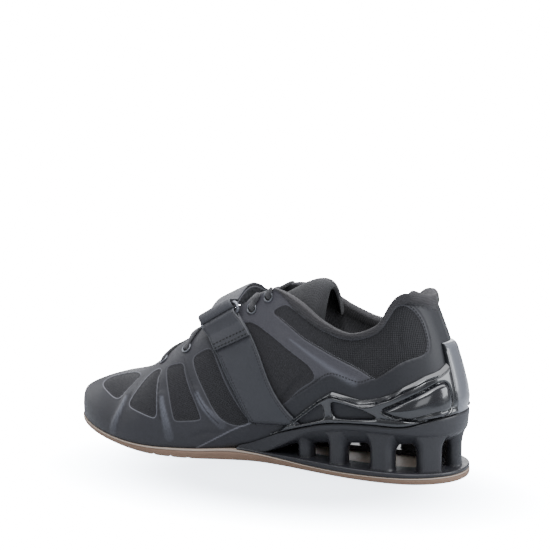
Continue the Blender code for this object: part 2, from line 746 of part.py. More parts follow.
def add_ring():
    """Wire ring with round corners, standing on its lower bar."""
    middle = (low_bar + high_bar) / 2
    straight_u, straight_v = ring_half_length - ring_corner, ring_half_width - ring_corner
    corner = []
    for quarter, (su, sv) in enumerate(((1, 1), (-1, 1), (-1, -1), (1, -1))):
        for part in range(4):
            turn = math.pi / 2 * (quarter + part / 3)
            u = su * straight_u + ring_corner * math.cos(turn)
            v = sv * straight_v + ring_corner * math.sin(turn)
            corner.append(middle + u * ring_along + v * ring_up)
    tube("strap_ring", corner, ring_wire, 8, (0.30, 0.31, 0.33), 0.35, 0.8, closed=True)


def fold(centre, start, end, radius):
    """Points on an arc about a bar of the ring: 0 points up along the ring, a quarter turn points outward."""
    turn = np.linspace(start, end, 7)
    return [centre + radius * (math.cos(t) * ring_up + math.sin(t) * ring_out) for t in turn]


def ribbon(name, paths, *finish):
    """Flat strap: paths of points side by side, given the strap's thickness."""
    paths = np.asarray(paths)
    along = np.gradient(paths, axis=1)
    across = np.gradient(paths, axis=0)
    normal = np.cross(along, across)
    normal /= np.linalg.norm(normal, axis=-1, keepdims=True)
    half = normal * strap_thickness / 2
    slab(name, paths - half, paths + half, *finish)


def strap_lines(top_levels, count):
    """Places and levels of four lines side by side along a strap."""
    for share in np.linspace(0, 1, 4):
        start, slope = (row[0] * (1 - share) + row[1] * share for row in (strap_start, strap_slope))
        top = top_levels[0] * (1 - share) + top_levels[1] * share
        levels = np.linspace(strap_low_level, top, count)
        reach = (strap_top[0] * (1 - share) + strap_top[1] * share) / max(top, strap_top.min())
        yield share, start + slope * levels * min(reach, 1.0), levels


def add_strap_base():
    """Strap sewn along the inner side, folded round the ring's lower bar and doubled."""
    clear = overlay_step + 1.5 * gap + strap_thickness / 2
    radius = ring_wire + gap + strap_thickness / 2
    paths = []
    for share, places, levels in strap_lines(strap_top - 0.02, 9):
        points = upper_offset(places, levels, np.full(len(levels), clear))
        centre = low_bar + ring_along * strap_half_width * (2 * share - 1)
        turned = fold(centre, -math.pi / 2, math.pi / 2 + 0.1, radius)
        share_back = strap_return / np.linalg.norm(points[-1] - points[0]) * (levels[-1] - levels[0])
        down = levels[-1] - share_back * np.array((0.35, 0.65, 1.0))
        doubled = np.full(3, clear + strap_thickness + 1.5 * gap)
        back = upper_offset(np.interp(down, levels, places), down, doubled)
        paths.append(list(points[:-1]) + turned + list(back))
    ribbon("strap_base", paths, (0.060, 0.066, 0.075), 0.5)


def add_strap_pull():
    """Pull strap: up the outer side, over the laces, round the ring's upper bar and back on itself."""
    clear = overlay_step + gap + strap_thickness / 2
    lace_clear = lace_height + lace_width / 2 + 2 * gap + strap_thickness / 2
    radius = ring_wire + gap + strap_thickness / 2
    paths = []
    for share, places, levels in strap_lines(np.full(2, pull_top_level), 9):
        lift = clear + (lace_clear - clear) * smoothstep((levels - pull_lift_level) / 0.25)
        points = list(upper_offset(whole_loop - places, levels, lift))
        centre = high_bar + ring_along * strap_half_width * (2 * share - 1)
        turned = fold(centre, *pull_wrap, radius)
        start, end = points[-1], turned[0]
        crown = np.array((0, 0, pull_crown))
        bridge = [start + (end - start) * f + crown * math.sin(math.pi * f) for f in (0.25, 0.5, 0.75)]
        lifted = np.array((0, 0, strap_thickness + 2 * gap))
        back = [p + lifted for p in bridge[::-1]]
        end_levels = levels[-1] - pull_return * np.array((0.0, 0.5, 1.0))
        lift = np.interp(end_levels, levels, lift) + strap_thickness + 2 * gap
        back += list(upper_offset(whole_loop - np.interp(end_levels, levels, places), end_levels, lift))
        paths.append(points + bridge + turned + back)
    ribbon("strap_pull", paths, (0.045, 0.047, 0.053), 0.6)


def eyelet_place(number, hand):
    """Middle of an eyelet on the eyestay and the direction that it faces."""
    place, level = EYELETS[number]
    place = place if hand > 0 else whole_loop - place
    return upper_point(place, level), upper_normal(place, level)


def add_eyelets():
    """Wire rings set on the eyestays, four a side."""
    for hand, side in ((1, "medial"), (-1, "lateral")):
        for number in range(len(EYELETS)):
            middle, normal = eyelet_place(number, hand)
            middle = middle + normal * (overlay_step + gap + eyelet_wire)
            u = unit(np.cross(normal, (0, 0, 1)))
            v = np.cross(normal, u)
            turn = np.linspace(0, 2 * math.pi, 10, endpoint=False)
            points = [middle + eyelet_radius * (math.cos(t) * u + math.sin(t) * v) for t in turn]
            tube(f"eyelet_{side}_{number + 1}", points, eyelet_wire, 4,
                 (0.25, 0.25, 0.27), 0.4, 0.7, closed=True)


lace_height = overlay_step + 6 * gap + 2 * eyelet_wire + lace_width / 2


def lace_path(first, second, hand):
    """Run of lace from one eyelet over the two throat edges to an eyelet on the other side."""
    ends = []
    for number, side in ((first, hand), (second, -hand)):
        place, level = EYELETS[number]
        place = place if side > 0 else whole_loop - place
        levels = np.array((level, 1.0))
        ends.append(upper_offset(np.full(2, place), levels, np.full(2, lace_height)))
    points = np.concatenate([ends[0], [(ends[0][1] + ends[1][1]) / 2], ends[1][::-1]])
    index = np.arange(len(points))
    fine = np.linspace(0, len(points) - 1, 9)
    return np.stack([curve(index, points[:, axis], fine) for axis in range(3)], 1)


def add_laces():
    """Bars at the first and last eyelets with a crossing between each pair, all one lace."""
    finish = ((0.05, 0.05, 0.055), 0.85)
    last = len(EYELETS) - 1
    lace = tube("laces", lace_path(0, 0, 1), lace_width / 2, lace_sides, *finish)
    for number in range(last):
        for hand in (1, -1):
            run = tube(f"lace_run_{number + 1}_{hand}", lace_path(number, number + 1, hand),
                       lace_width / 2, lace_sides, *finish)
            boolean(lace, run, "UNION")
    weld(lace, lace_weld)


def main():
    """Clear the scene and add every piece."""
    for thing in list(bpy.data.objects):
        bpy.data.objects.remove(thing, do_unlink=True)
    add_outsole()
    add_heel_frame()
    add_upper()
    add_insole()
    add_tongue()
    add_heel_cage()
    add_ring()
    add_strap_base()
    add_strap_pull()
    add_eyelets()
    add_laces()


main()
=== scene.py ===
import math

import bmesh
import bpy
import numpy as np
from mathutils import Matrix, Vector


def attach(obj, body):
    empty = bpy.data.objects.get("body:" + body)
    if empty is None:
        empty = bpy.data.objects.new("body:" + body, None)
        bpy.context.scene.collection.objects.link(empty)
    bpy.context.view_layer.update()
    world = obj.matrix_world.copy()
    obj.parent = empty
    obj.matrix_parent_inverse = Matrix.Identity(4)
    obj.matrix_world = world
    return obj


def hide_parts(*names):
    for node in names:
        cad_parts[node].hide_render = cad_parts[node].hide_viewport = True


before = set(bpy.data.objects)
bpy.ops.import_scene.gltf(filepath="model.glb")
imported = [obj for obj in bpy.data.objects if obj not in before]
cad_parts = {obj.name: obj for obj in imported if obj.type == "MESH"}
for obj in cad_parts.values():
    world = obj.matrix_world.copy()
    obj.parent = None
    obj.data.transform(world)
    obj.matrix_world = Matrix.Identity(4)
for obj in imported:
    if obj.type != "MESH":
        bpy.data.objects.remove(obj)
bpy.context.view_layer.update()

mm = 0.001
print("packed shoe loaded")

# the last: the same sizes and rows as the solids, in metres and shares

last = {
    "length": 0.290, "heelBack": 0.038, "ballWidth": 0.096, "height": 0.126, "heelLift": 0.0323,
    "ballGum": 0.0076, "toeSpring": 0.016, "springStart": 0.132, "springPower": 1.8, "gap": 0.0003,
}

# along, medial, lateral
outlineRows = np.array((
    (0.000, 0.000, 0.000), (0.012, 0.165, 0.160), (0.048, 0.297, 0.288), (0.103, 0.382, 0.372),
    (0.172, 0.408, 0.402), (0.255, 0.394, 0.396), (0.338, 0.347, 0.381), (0.421, 0.294, 0.376),
    (0.497, 0.275, 0.394), (0.579, 0.333, 0.441), (0.662, 0.433, 0.479), (0.745, 0.500, 0.472),
    (0.834, 0.472, 0.398), (0.917, 0.377, 0.270), (0.976, 0.234, 0.095), (1.000, 0.073, -0.073)))

# along, gum
gumRows = np.array((
    (0.00, 0.59), (0.42, 0.59), (0.49, 0.79), (0.55, 1.00), (0.62, 0.92), (0.68, 0.84), (0.74, 0.71),
    (0.80, 0.56), (0.85, 0.48), (0.90, 0.45), (1.00, 0.47)))

# along, rim, seat, skirt, under
frameNames = ("along", "rim", "seat", "skirt", "under")
frameRows = np.array((
    (0.000, 1.39, 1.000, 0.985, 0.800), (0.048, 1.31, 1.000, 0.985, 0.800),
    (0.103, 1.17, 1.000, 0.990, 0.775), (0.193, 1.16, 1.000, 1.000, 0.735),
    (0.255, 1.115, 0.975, 0.965, 0.666), (0.303, 1.05, 0.910, 0.885, 0.605),
    (0.352, 0.93, 0.810, 0.765, 0.535), (0.393, 0.81, 0.690, 0.585, 0.475),
    (0.434, 0.68, 0.576, 0.400, 0.325), (0.469, 0.54, 0.460, 0.250, 0.225),
    (0.510, 0.385, 0.335, 0.215, 0.200), (0.540, 0.315, 0.288, 0.190, 0.180),
    (0.590, 0.230, 0.215, 0.170, 0.160)))

upperNames = ("inset", "topAlong", "topSide", "topHeight", "lowSwell", "lowRise", "highSwell", "highDrop")
upperRows = np.array((
    (4.5, 0.095, 0.000, 0.952, 2.5, 0.31, 12.0, 0.295), (4.5, 0.100, 0.104, 0.952, 2.5, 0.31, 11.0, 0.290),
    (4.5, 0.116, 0.193, 0.951, 3.0, 0.31, 8.0, 0.290), (4.5, 0.145, 0.260, 0.933, 4.0, 0.32, 6.0, 0.300),
    (4.5, 0.183, 0.307, 0.808, 4.5, 0.33, 4.5, 0.320), (4.5, 0.245, 0.328, 0.762, 5.0, 0.33, 4.0, 0.330),
    (4.5, 0.314, 0.313, 0.817, 6.0, 0.33, 5.0, 0.330), (4.2, 0.383, 0.260, 0.913, 9.0, 0.30, 7.0, 0.350),
    (3.6, 0.452, 0.177, 0.948, 12.0, 0.30, 10.0, 0.300), (2.4, 0.538, 0.151, 0.853, 9.0, 0.33, 16.0, 0.200),
    (1.3, 0.628, 0.130, 0.734, 5.0, 0.38, 18.0, 0.130), (1.0, 0.717, 0.104, 0.591, 2.5, 0.45, 20.0, 0.080),
    (1.0, 0.810, 0.000, 0.444, 1.5, 0.52, 24.0, 0.030), (1.0, 0.890, 0.031, 0.391, 1.5, 0.60, 22.0, 0.000),
    (1.0, 0.948, 0.052, 0.345, 1.5, 0.60, 15.0, 0.000), (1.0, 0.983, 0.068, 0.290, 1.0, 0.55, 7.0, 0.000)))

lastPlace = len(outlineRows) - 1
wholeLoop = 2 * lastPlace
ridgeStart = 12.0


def smoothCurve(xs, ys, at):
    # cubic through (xs, ys) whose slope at a point is the mean of its two neighbours' slopes
    xs, ys, at = (np.asarray(v, float) for v in (xs, ys, at))
    step = np.diff(xs)
    rise = np.diff(ys) / step
    slope = np.empty_like(ys)
    slope[1:-1] = (rise[:-1] * step[1:] + rise[1:] * step[:-1]) / (step[1:] + step[:-1])
    slope[0], slope[-1] = rise[0], rise[-1]
    k = np.clip(np.searchsorted(xs, at, side="right") - 1, 0, len(xs) - 2)
    h = step[k]
    f = np.clip((at - xs[k]) / h, 0, 1)
    start = ys[k] * (1 + 2 * f) * (1 - f) ** 2 + slope[k] * h * f * (1 - f) ** 2
    return start + ys[k + 1] * f ** 2 * (3 - 2 * f) - slope[k + 1] * h * f ** 2 * (1 - f)


def softStep(value):
    # 0 to 1 as 3f^2 - 2f^3
    f = np.clip(value, 0, 1)
    return f * f * (3 - 2 * f)


def bell(value):
    # exp(-v^2)
    return np.exp(-np.square(value))


def unit(vectors):
    vectors = np.asarray(vectors, float)
    return vectors / np.maximum(np.linalg.norm(vectors, axis=-1, keepdims=True), 1e-12)


loopX = np.concatenate([outlineRows[:, 0], outlineRows[-2:0:-1, 0]]) * last["length"] - last["heelBack"]
loopY = np.concatenate([outlineRows[:, 1], -outlineRows[-2:0:-1, 2]]) * last["ballWidth"]


def loopCurve(values, place):
    # closed Catmull-Rom curve through one value for each whole place
    n = len(values)
    place = np.asarray(place, float) % n
    k = np.floor(place).astype(int)
    f = place - k
    a, b, c, d = (values[(k + i) % n] for i in (-1, 0, 1, 2))
    return 0.5 * (2 * b + (c - a) * f + (2 * a - 5 * b + 4 * c - d) * f ** 2
                  + (3 * b - a - 3 * c + d) * f ** 3)


def soleEdge(place, inset=0.0):
    # edge of the sole moved inward by inset, and its outward direction
    place = np.asarray(place, float)
    dx = loopCurve(loopX, place + 0.01) - loopCurve(loopX, place - 0.01)
    dy = loopCurve(loopY, place + 0.01) - loopCurve(loopY, place - 0.01)
    length = np.hypot(dx, dy)
    nx, ny = -dy / length, dx / length
    return loopCurve(loopX, place) - nx * inset, loopCurve(loopY, place) - ny * inset, nx, ny


def station(place):
    # 0 at the heel to 15 at the toe, on either side
    place = np.asarray(place, float) % wholeLoop
    return np.where(place > lastPlace, wholeLoop - place, place)


def shareAlong(x):
    return (np.asarray(x, float) + last["heelBack"]) / last["length"]


def springHeight(x):
    # toe spring: a power of the distance past the ball
    run = last["length"] - last["heelBack"] - last["springStart"]
    past = np.clip((np.asarray(x, float) - last["springStart"]) / run, 0, None)
    return last["toeSpring"] * past ** last["springPower"]


def gumTop(x):
    return last["ballGum"] * smoothCurve(gumRows[:, 0], gumRows[:, 1], shareAlong(x)) + springHeight(x)


def frameHeight(name, x):
    return last["heelLift"] * smoothCurve(frameRows[:, 0], frameRows[:, frameNames.index(name)],
                                          shareAlong(x))


def seatHeight(x):
    return np.maximum(frameHeight("seat", x), gumTop(x))


def upperRow(name, places):
    return smoothCurve(np.arange(len(upperRows)), upperRows[:, upperNames.index(name)], station(places))


def upperPoint(places, levels):
    # cubic Bezier from the sole's edge (level 0) to the collar, throat or toe ridge (level 1)
    places, levels = np.broadcast_arrays(np.asarray(places, float), np.asarray(levels, float))
    s = station(places)
    side = np.where(places % wholeLoop > lastPlace, -1.0, 1.0)
    footX, footY, nx, ny = soleEdge(places, upperRow("inset", places) * mm)
    footZ = seatHeight(footX) + last["gap"]
    topX = upperRow("topAlong", places) * last["length"] - last["heelBack"]
    topSide = upperRow("topSide", places) * last["ballWidth"]
    topY = np.where(s > ridgeStart, topSide, side * np.maximum(topSide, 0))
    topZ = upperRow("topHeight", places) * last["height"]
    height = topZ - footZ
    dx, dy = footX - topX, footY - topY
    spread = np.maximum(np.hypot(dx, dy), 1e-9)
    weight = softStep((spread - 4 * mm) / (12 * mm))
    ux, uy = nx * (1 - weight) + weight * dx / spread, ny * (1 - weight) + weight * dy / spread
    size = np.hypot(ux, uy)
    low, high = upperRow("lowSwell", places) * mm, upperRow("highSwell", places) * mm
    p0 = np.stack([footX, footY, footZ], -1)
    p1 = np.stack([footX + nx * low, footY + ny * low, footZ + height * upperRow("lowRise", places)], -1)
    p2 = np.stack([topX + ux / size * high, topY + uy / size * high,
                   topZ - height * upperRow("highDrop", places)], -1)
    p3 = np.stack([topX, topY, topZ], -1)
    f = levels[..., None]
    return p0 * (1 - f) ** 3 + 3 * p1 * f * (1 - f) ** 2 + 3 * p2 * f * f * (1 - f) + p3 * f ** 3


def upperNormal(places, levels):
    places, levels = np.broadcast_arrays(np.asarray(places, float), np.asarray(levels, float))
    level = np.clip(levels, 0.01, 0.99)
    along = upperPoint(places + 0.01, level) - upperPoint(places - 0.01, level)
    up = upperPoint(places, level + 0.01) - upperPoint(places, level - 0.01)
    return unit(np.cross(up, along))


def upperOffset(places, levels, distance):
    distance = np.asarray(distance, float)
    return upperPoint(places, levels) + upperNormal(places, levels) * distance[..., None]


def offsetAtHeight(places, heights, distance):
    # rows of heights for each place: the level is read back from the section, then moved outward
    levels = np.linspace(0, 1, 161)
    sections = upperPoint(places[:, None], levels)[..., 2]
    found = np.stack([np.interp(h, z, levels) for h, z in zip(heights, sections)])
    points = upperOffset(np.broadcast_to(places[:, None], found.shape), found, distance)
    points[..., 2] = heights
    return points


# making meshes

def gridFaces(rows, columns, start=0, wrap=False):
    # quads between neighbouring rows of a grid stored row by row
    r = np.arange(rows - 1)[:, None]
    c = np.arange(columns if wrap else columns - 1)[None, :]
    after = (c + 1) % columns
    quads = np.stack([start + r * columns + c, start + r * columns + after,
                      start + (r + 1) * columns + after, start + (r + 1) * columns + c], -1)
    return quads.reshape(-1, 4).tolist()


def makePiece(name, points, faces, material, stands=(), slotName=None, values=None, sharp=40):
    # closed mesh with its doubles merged, normals outward, values stored on its points
    mesh = bpy.data.meshes.new(name)
    mesh.from_pydata(np.asarray(points, float).reshape(-1, 3).tolist(), [], faces)
    for key, data in (values or {}).items():
        data = np.asarray(data, np.float32)
        isVector = data.ndim > 1 and data.shape[-1] == 3
        kind, field = ("FLOAT_VECTOR", "vector") if isVector else ("FLOAT", "value")
        mesh.attributes.new(key, kind, "POINT").data.foreach_set(field, data.ravel())
    shape = bmesh.new()
    shape.from_mesh(mesh)
    bmesh.ops.remove_doubles(shape, verts=shape.verts, dist=2e-6)
    bmesh.ops.delete(shape, geom=[v for v in shape.verts if not v.link_faces], context="VERTS")
    bmesh.ops.recalc_face_normals(shape, faces=shape.faces)
    shape.to_mesh(mesh)
    shape.free()
    mesh.shade_smooth()
    mesh.set_sharp_from_angle(angle=math.radians(sharp))
    mesh.materials.append(material)
    piece = bpy.data.objects.new(name, mesh)
    bpy.context.scene.collection.objects.link(piece)
    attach(piece, "root")
    if stands:
        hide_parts(*stands)
    return piece


def shell(name, outer, inner, material, **rest):
    # solid between two grids of the same shape
    rows, columns = outer.shape[:2]
    count = rows * columns
    border = [(0, c) for c in range(columns)] + [(r, columns - 1) for r in range(1, rows)]
    border += [(rows - 1, c) for c in range(columns - 2, -1, -1)] + [(r, 0) for r in range(rows - 2, 0, -1)]
    ids = [r * columns + c for r, c in border]
    faces = gridFaces(rows, columns) + gridFaces(rows, columns, count)
    faces += [[a, b, b + count, a + count] for a, b in zip(ids, ids[1:] + ids[:1])]
    values = {key: np.concatenate([data, data]) for key, data in (rest.pop("values", None) or {}).items()}
    return makePiece(name, np.concatenate([outer.reshape(-1, 3), inner.reshape(-1, 3)]), faces, material,
                     values=values, **rest)


def plate(name, rings, material, **rest):
    # solid from rings that run round the heel from one side to the other, closed across the shoe
    rings = np.asarray(rings)
    count, n = rings.shape[:2]
    faces = gridFaces(count, n)
    for ring in (0, count - 1):
        faces += [[ring * n + k, ring * n + k + 1, ring * n + n - 2 - k, ring * n + n - 1 - k]
                  for k in range(n // 2)]
    if np.linalg.norm(rings[0, 0] - rings[0, -1]) > 1e-5:
        faces += [[r * n, (r + 1) * n, (r + 1) * n + n - 1, r * n + n - 1] for r in range(count - 1)]
    return makePiece(name, rings.reshape(-1, 3), faces, material, **rest)


def sweep(path, normals, halfWidth, halfHeight, sides=14, power=1.0):
    # ellipse carried along a path, its short axis on the given normals: rows of rings
    ahead = unit(np.gradient(path, axis=0))
    normals = unit(normals - ahead * np.sum(normals * ahead, -1, keepdims=True))
    across = np.cross(ahead, normals)
    turn = np.linspace(0, 2 * math.pi, sides, endpoint=False)
    cosine, sine = np.cos(turn), np.sin(turn)
    w = np.sign(cosine) * np.abs(cosine) ** power * np.asarray(halfWidth)[..., None]
    h = np.sign(sine) * np.abs(sine) ** power * np.asarray(halfHeight)[..., None]
    w, h = np.broadcast_to(w, (len(path), sides)), np.broadcast_to(h, (len(path), sides))
    return path[:, None] + across[:, None] * w[..., None] + normals[:, None] * h[..., None]


def ropeFaces(rows, sides, start=0):
    faces = gridFaces(rows, sides, start, wrap=True)
    return faces + [[start + c for c in range(sides)],
                    [start + (rows - 1) * sides + c for c in range(sides)]]


def lengthAlong(line):
    return np.concatenate([[0], np.cumsum(np.linalg.norm(np.diff(line, axis=0), axis=-1))])


def fineCurve(points, count):
    # the points joined by a smooth curve and read at equal lengths
    points = np.asarray(points, float)
    index = np.arange(len(points))
    dense = np.linspace(0, len(points) - 1, 40 * len(points))
    line = np.stack([smoothCurve(index, points[:, a], dense) for a in range(points.shape[1])], -1)
    run = lengthAlong(line)
    at = np.linspace(0, run[-1], count)
    return np.stack([np.interp(at, run, line[:, a]) for a in range(points.shape[1])], -1)


# node helpers

def shade(tone, factor):
    return tuple(factor * v for v in tone)


def addNode(tree, kind, settings=None, **inputs):
    made = tree.nodes.new(kind)
    for key, value in (settings or {}).items():
        setattr(made, key, value)
    for key, value in inputs.items():
        socket = made.inputs[int(key[1:])] if key[0] == "_" else made.inputs[key]
        if isinstance(value, bpy.types.NodeSocket):
            tree.links.new(value, socket)
        else:
            socket.default_value = value
    return made


def calc(tree, operation, a, b=0.0, c=0.0):
    return addNode(tree, "ShaderNodeMath", {"operation": operation}, _0=a, _1=b, _2=c).outputs[0]


def vectorCalc(tree, operation, a, b):
    return addNode(tree, "ShaderNodeVectorMath", {"operation": operation}, _0=a, _1=b).outputs[0]


def ease(tree, value, low, high, outLow=0.0, outHigh=1.0):
    # smooth ramp of a value between two limits
    return addNode(tree, "ShaderNodeMapRange", {"interpolation_type": "SMOOTHSTEP"},
                   _0=value, _1=low, _2=high, _3=outLow, _4=outHigh).outputs[0]


def mixColour(tree, factor, a, b):
    a = a if isinstance(a, bpy.types.NodeSocket) else (*a, 1)
    b = b if isinstance(b, bpy.types.NodeSocket) else (*b, 1)
    return addNode(tree, "ShaderNodeMix", {"data_type": "RGBA"}, _0=factor, _6=a, _7=b).outputs[2]


def mixValue(tree, factor, a, b):
    return addNode(tree, "ShaderNodeMix", {"data_type": "FLOAT"}, _0=factor, _2=a, _3=b).outputs[0]


def fromAttribute(tree, name, output="Fac"):
    return addNode(tree, "ShaderNodeAttribute", {"attribute_name": name}).outputs[output]


def millimetres(tree):
    # object coordinates in millimetres
    place = addNode(tree, "ShaderNodeTexCoord").outputs["Object"]
    return vectorCalc(tree, "MULTIPLY", place, (1000, 1000, 1000))


def noise(tree, vector, scale, detail=3.0, roughness=0.5):
    return addNode(tree, "ShaderNodeTexNoise", None, Vector=vector, Scale=scale, Detail=detail,
                   Roughness=roughness).outputs["Fac"]


def newGroup(name, inputs, outputs):
    group = bpy.data.node_groups.new(name, "ShaderNodeTree")
    for label, kind, value in inputs:
        socket = group.interface.new_socket(label, in_out="INPUT", socket_type=kind)
        if value is not None:
            socket.default_value = value
    for label, kind in outputs:
        group.interface.new_socket(label, in_out="OUTPUT", socket_type=kind)
    return group, addNode(group, "NodeGroupInput").outputs, addNode(group, "NodeGroupOutput").inputs


def useGroup(tree, group, **inputs):
    made = tree.nodes.new("ShaderNodeGroup")
    made.node_tree = group
    for key, value in inputs.items():
        if isinstance(value, bpy.types.NodeSocket):
            tree.links.new(value, made.inputs[key])
        else:
            made.inputs[key].default_value = value
    return made.outputs


def newMaterial(name):
    made = bpy.data.materials.new(name)
    made.use_nodes = True
    return made, made.node_tree, made.node_tree.nodes["Principled BSDF"]


def finishShader(tree, shader, colour=None, roughness=None, height=None, depth=0.2, **fixed):
    # colour and roughness feed the shader, height in mm goes through a Bump node, the rest stay constants
    for name, value in (("Base Color", colour), ("Roughness", roughness)):
        if isinstance(value, bpy.types.NodeSocket):
            tree.links.new(value, shader.inputs[name])
        elif value is not None:
            shader.inputs[name].default_value = (*value, 1) if name == "Base Color" else value
    if height is not None:
        relief = addNode(tree, "ShaderNodeBump", None, Height=height, Strength=1.0, Distance=depth * mm)
        tree.links.new(relief.outputs[0], shader.inputs["Normal"])
    for key, value in fixed.items():
        shader.inputs[key.replace("_", " ")].default_value = value


# knitted cells: small round holes on a grid, each moved a little at random
cellGroup, gIn, gOut = newGroup("knitCells",
                                (("Vector", "NodeSocketVector", None), ("Pitch", "NodeSocketFloat", 1.2)),
                                (("Height", "NodeSocketFloat"), ("Hole", "NodeSocketFloat")))
scaled = addNode(cellGroup, "ShaderNodeVectorMath", {"operation": "SCALE"}, _0=gIn["Vector"],
                 Scale=calc(cellGroup, "DIVIDE", 1.0, gIn["Pitch"])).outputs[0]
cells = addNode(cellGroup, "ShaderNodeTexVoronoi", {"voronoi_dimensions": "2D"}, Vector=scaled, Scale=1.0,
                Randomness=0.22).outputs["Distance"]
hole = ease(cellGroup, cells, 0.18, 0.40, 1.0, 0.0)
cellGroup.links.new(hole, gOut["Hole"])
cellGroup.links.new(calc(cellGroup, "SUBTRACT", 1.0, hole), gOut["Height"])

# ribs: a sine across the cloth, broken by a finer sine along it
ribGroup, gIn, gOut = newGroup("knitRibs",
                               (("Across", "NodeSocketFloat", 0.0), ("Along", "NodeSocketFloat", 0.0),
                                ("Pitch", "NodeSocketFloat", 1.2)),
                               (("Height", "NodeSocketFloat"),))
first = calc(ribGroup, "SINE",
             calc(ribGroup, "MULTIPLY", calc(ribGroup, "DIVIDE", gIn["Across"], gIn["Pitch"]), 6.2832))
second = calc(ribGroup, "SINE",
              calc(ribGroup, "MULTIPLY", calc(ribGroup, "DIVIDE", gIn["Along"], gIn["Pitch"]), 7.8))
ribGroup.links.new(calc(ribGroup, "MULTIPLY_ADD", second, 0.22,
                        calc(ribGroup, "MULTIPLY_ADD", first, 0.39, 0.5)),
                   gOut["Height"])

# grain: two sizes of noise as a height, and a slow tone that is used for colour and roughness
grainGroup, gIn, gOut = newGroup("fineGrain",
                                 (("Vector", "NodeSocketVector", None), ("Size", "NodeSocketFloat", 0.6)),
                                 (("Height", "NodeSocketFloat"), ("Tone", "NodeSocketFloat")))
rate = calc(grainGroup, "DIVIDE", 1.0, gIn["Size"])
coarse = noise(grainGroup, gIn["Vector"], rate, 4.0, 0.6)
fine = noise(grainGroup, gIn["Vector"], calc(grainGroup, "MULTIPLY", rate, 3.1), 2.0)
grainGroup.links.new(calc(grainGroup, "MULTIPLY_ADD", fine, 0.4, calc(grainGroup, "MULTIPLY", coarse, 0.6)),
                     gOut["Height"])
grainGroup.links.new(noise(grainGroup, gIn["Vector"], calc(grainGroup, "MULTIPLY", rate, 0.04), 3.0),
                     gOut["Tone"])

# scuffs: thin stretched marks and specks of dust, rare and pale
scuffGroup, gIn, gOut = newGroup("scuffs", (("Vector", "NodeSocketVector", None),),
                                 (("Mask", "NodeSocketFloat"),))
stretched = vectorCalc(scuffGroup, "MULTIPLY", gIn["Vector"], (0.10, 0.10, 0.9))
marks = ease(scuffGroup, noise(scuffGroup, stretched, 1.0, 6.0, 0.7), 0.66, 0.80)
specks = ease(scuffGroup, noise(scuffGroup, gIn["Vector"], 1.3, 2.0), 0.72, 0.80)
scuffGroup.links.new(calc(scuffGroup, "MAXIMUM", calc(scuffGroup, "MULTIPLY", marks, 0.6), specks),
                     gOut["Mask"])
print("shared effects built")

# upper

upperLook = {
    "columns": 600, "outerRows": 100, "innerRows": 14, "rimRows": 9, "wall": 2.0, "margin": 9.0,
    "counterStep": 0.8, "panelStep": 0.5, "ribRise": 0.9,
    "panelColour": (0.0245, 0.0245, 0.0290), "meshColour": (0.0205, 0.0200, 0.0228),
    "meshHole": (0.005, 0.005, 0.006),
    "counterColour": (0.0150, 0.0154, 0.0187), "rollColour": (0.046, 0.044, 0.047),
    "bandColour": (0.058, 0.057, 0.067),
    # colour of the painted highlights on the ribs and on the band
    "highlightColour": (0.13, 0.135, 0.16), "weldColour": (0.12, 0.12, 0.138),
    "liningColour": (0.13, 0.128, 0.135),
}
# place, then in mm the collar roll's swell outward and inward and its crown on the medial and lateral side
rollRows = np.array(((0.0, 3.2, 4.4, 0.5, 0.5), (0.5, 3.2, 4.4, 1.4, 1.0), (1.0, 3.3, 4.4, 3.4, 2.0),
                     (1.5, 3.4, 4.2, 5.4, 2.8), (2.0, 3.5, 4.0, 7.0, 3.4), (2.6, 3.5, 3.8, 7.8, 3.8),
                     (3.0, 3.3, 3.5, 7.0, 3.6), (3.5, 3.0, 3.0, 4.4, 3.0), (4.0, 2.7, 2.6, 2.2, 2.4),
                     (5.0, 2.7, 2.6, 1.3, 2.4), (7.5, 2.5, 2.6, 1.3, 2.4), (15.0, 2.1, 2.6, 1.3, 1.3)))

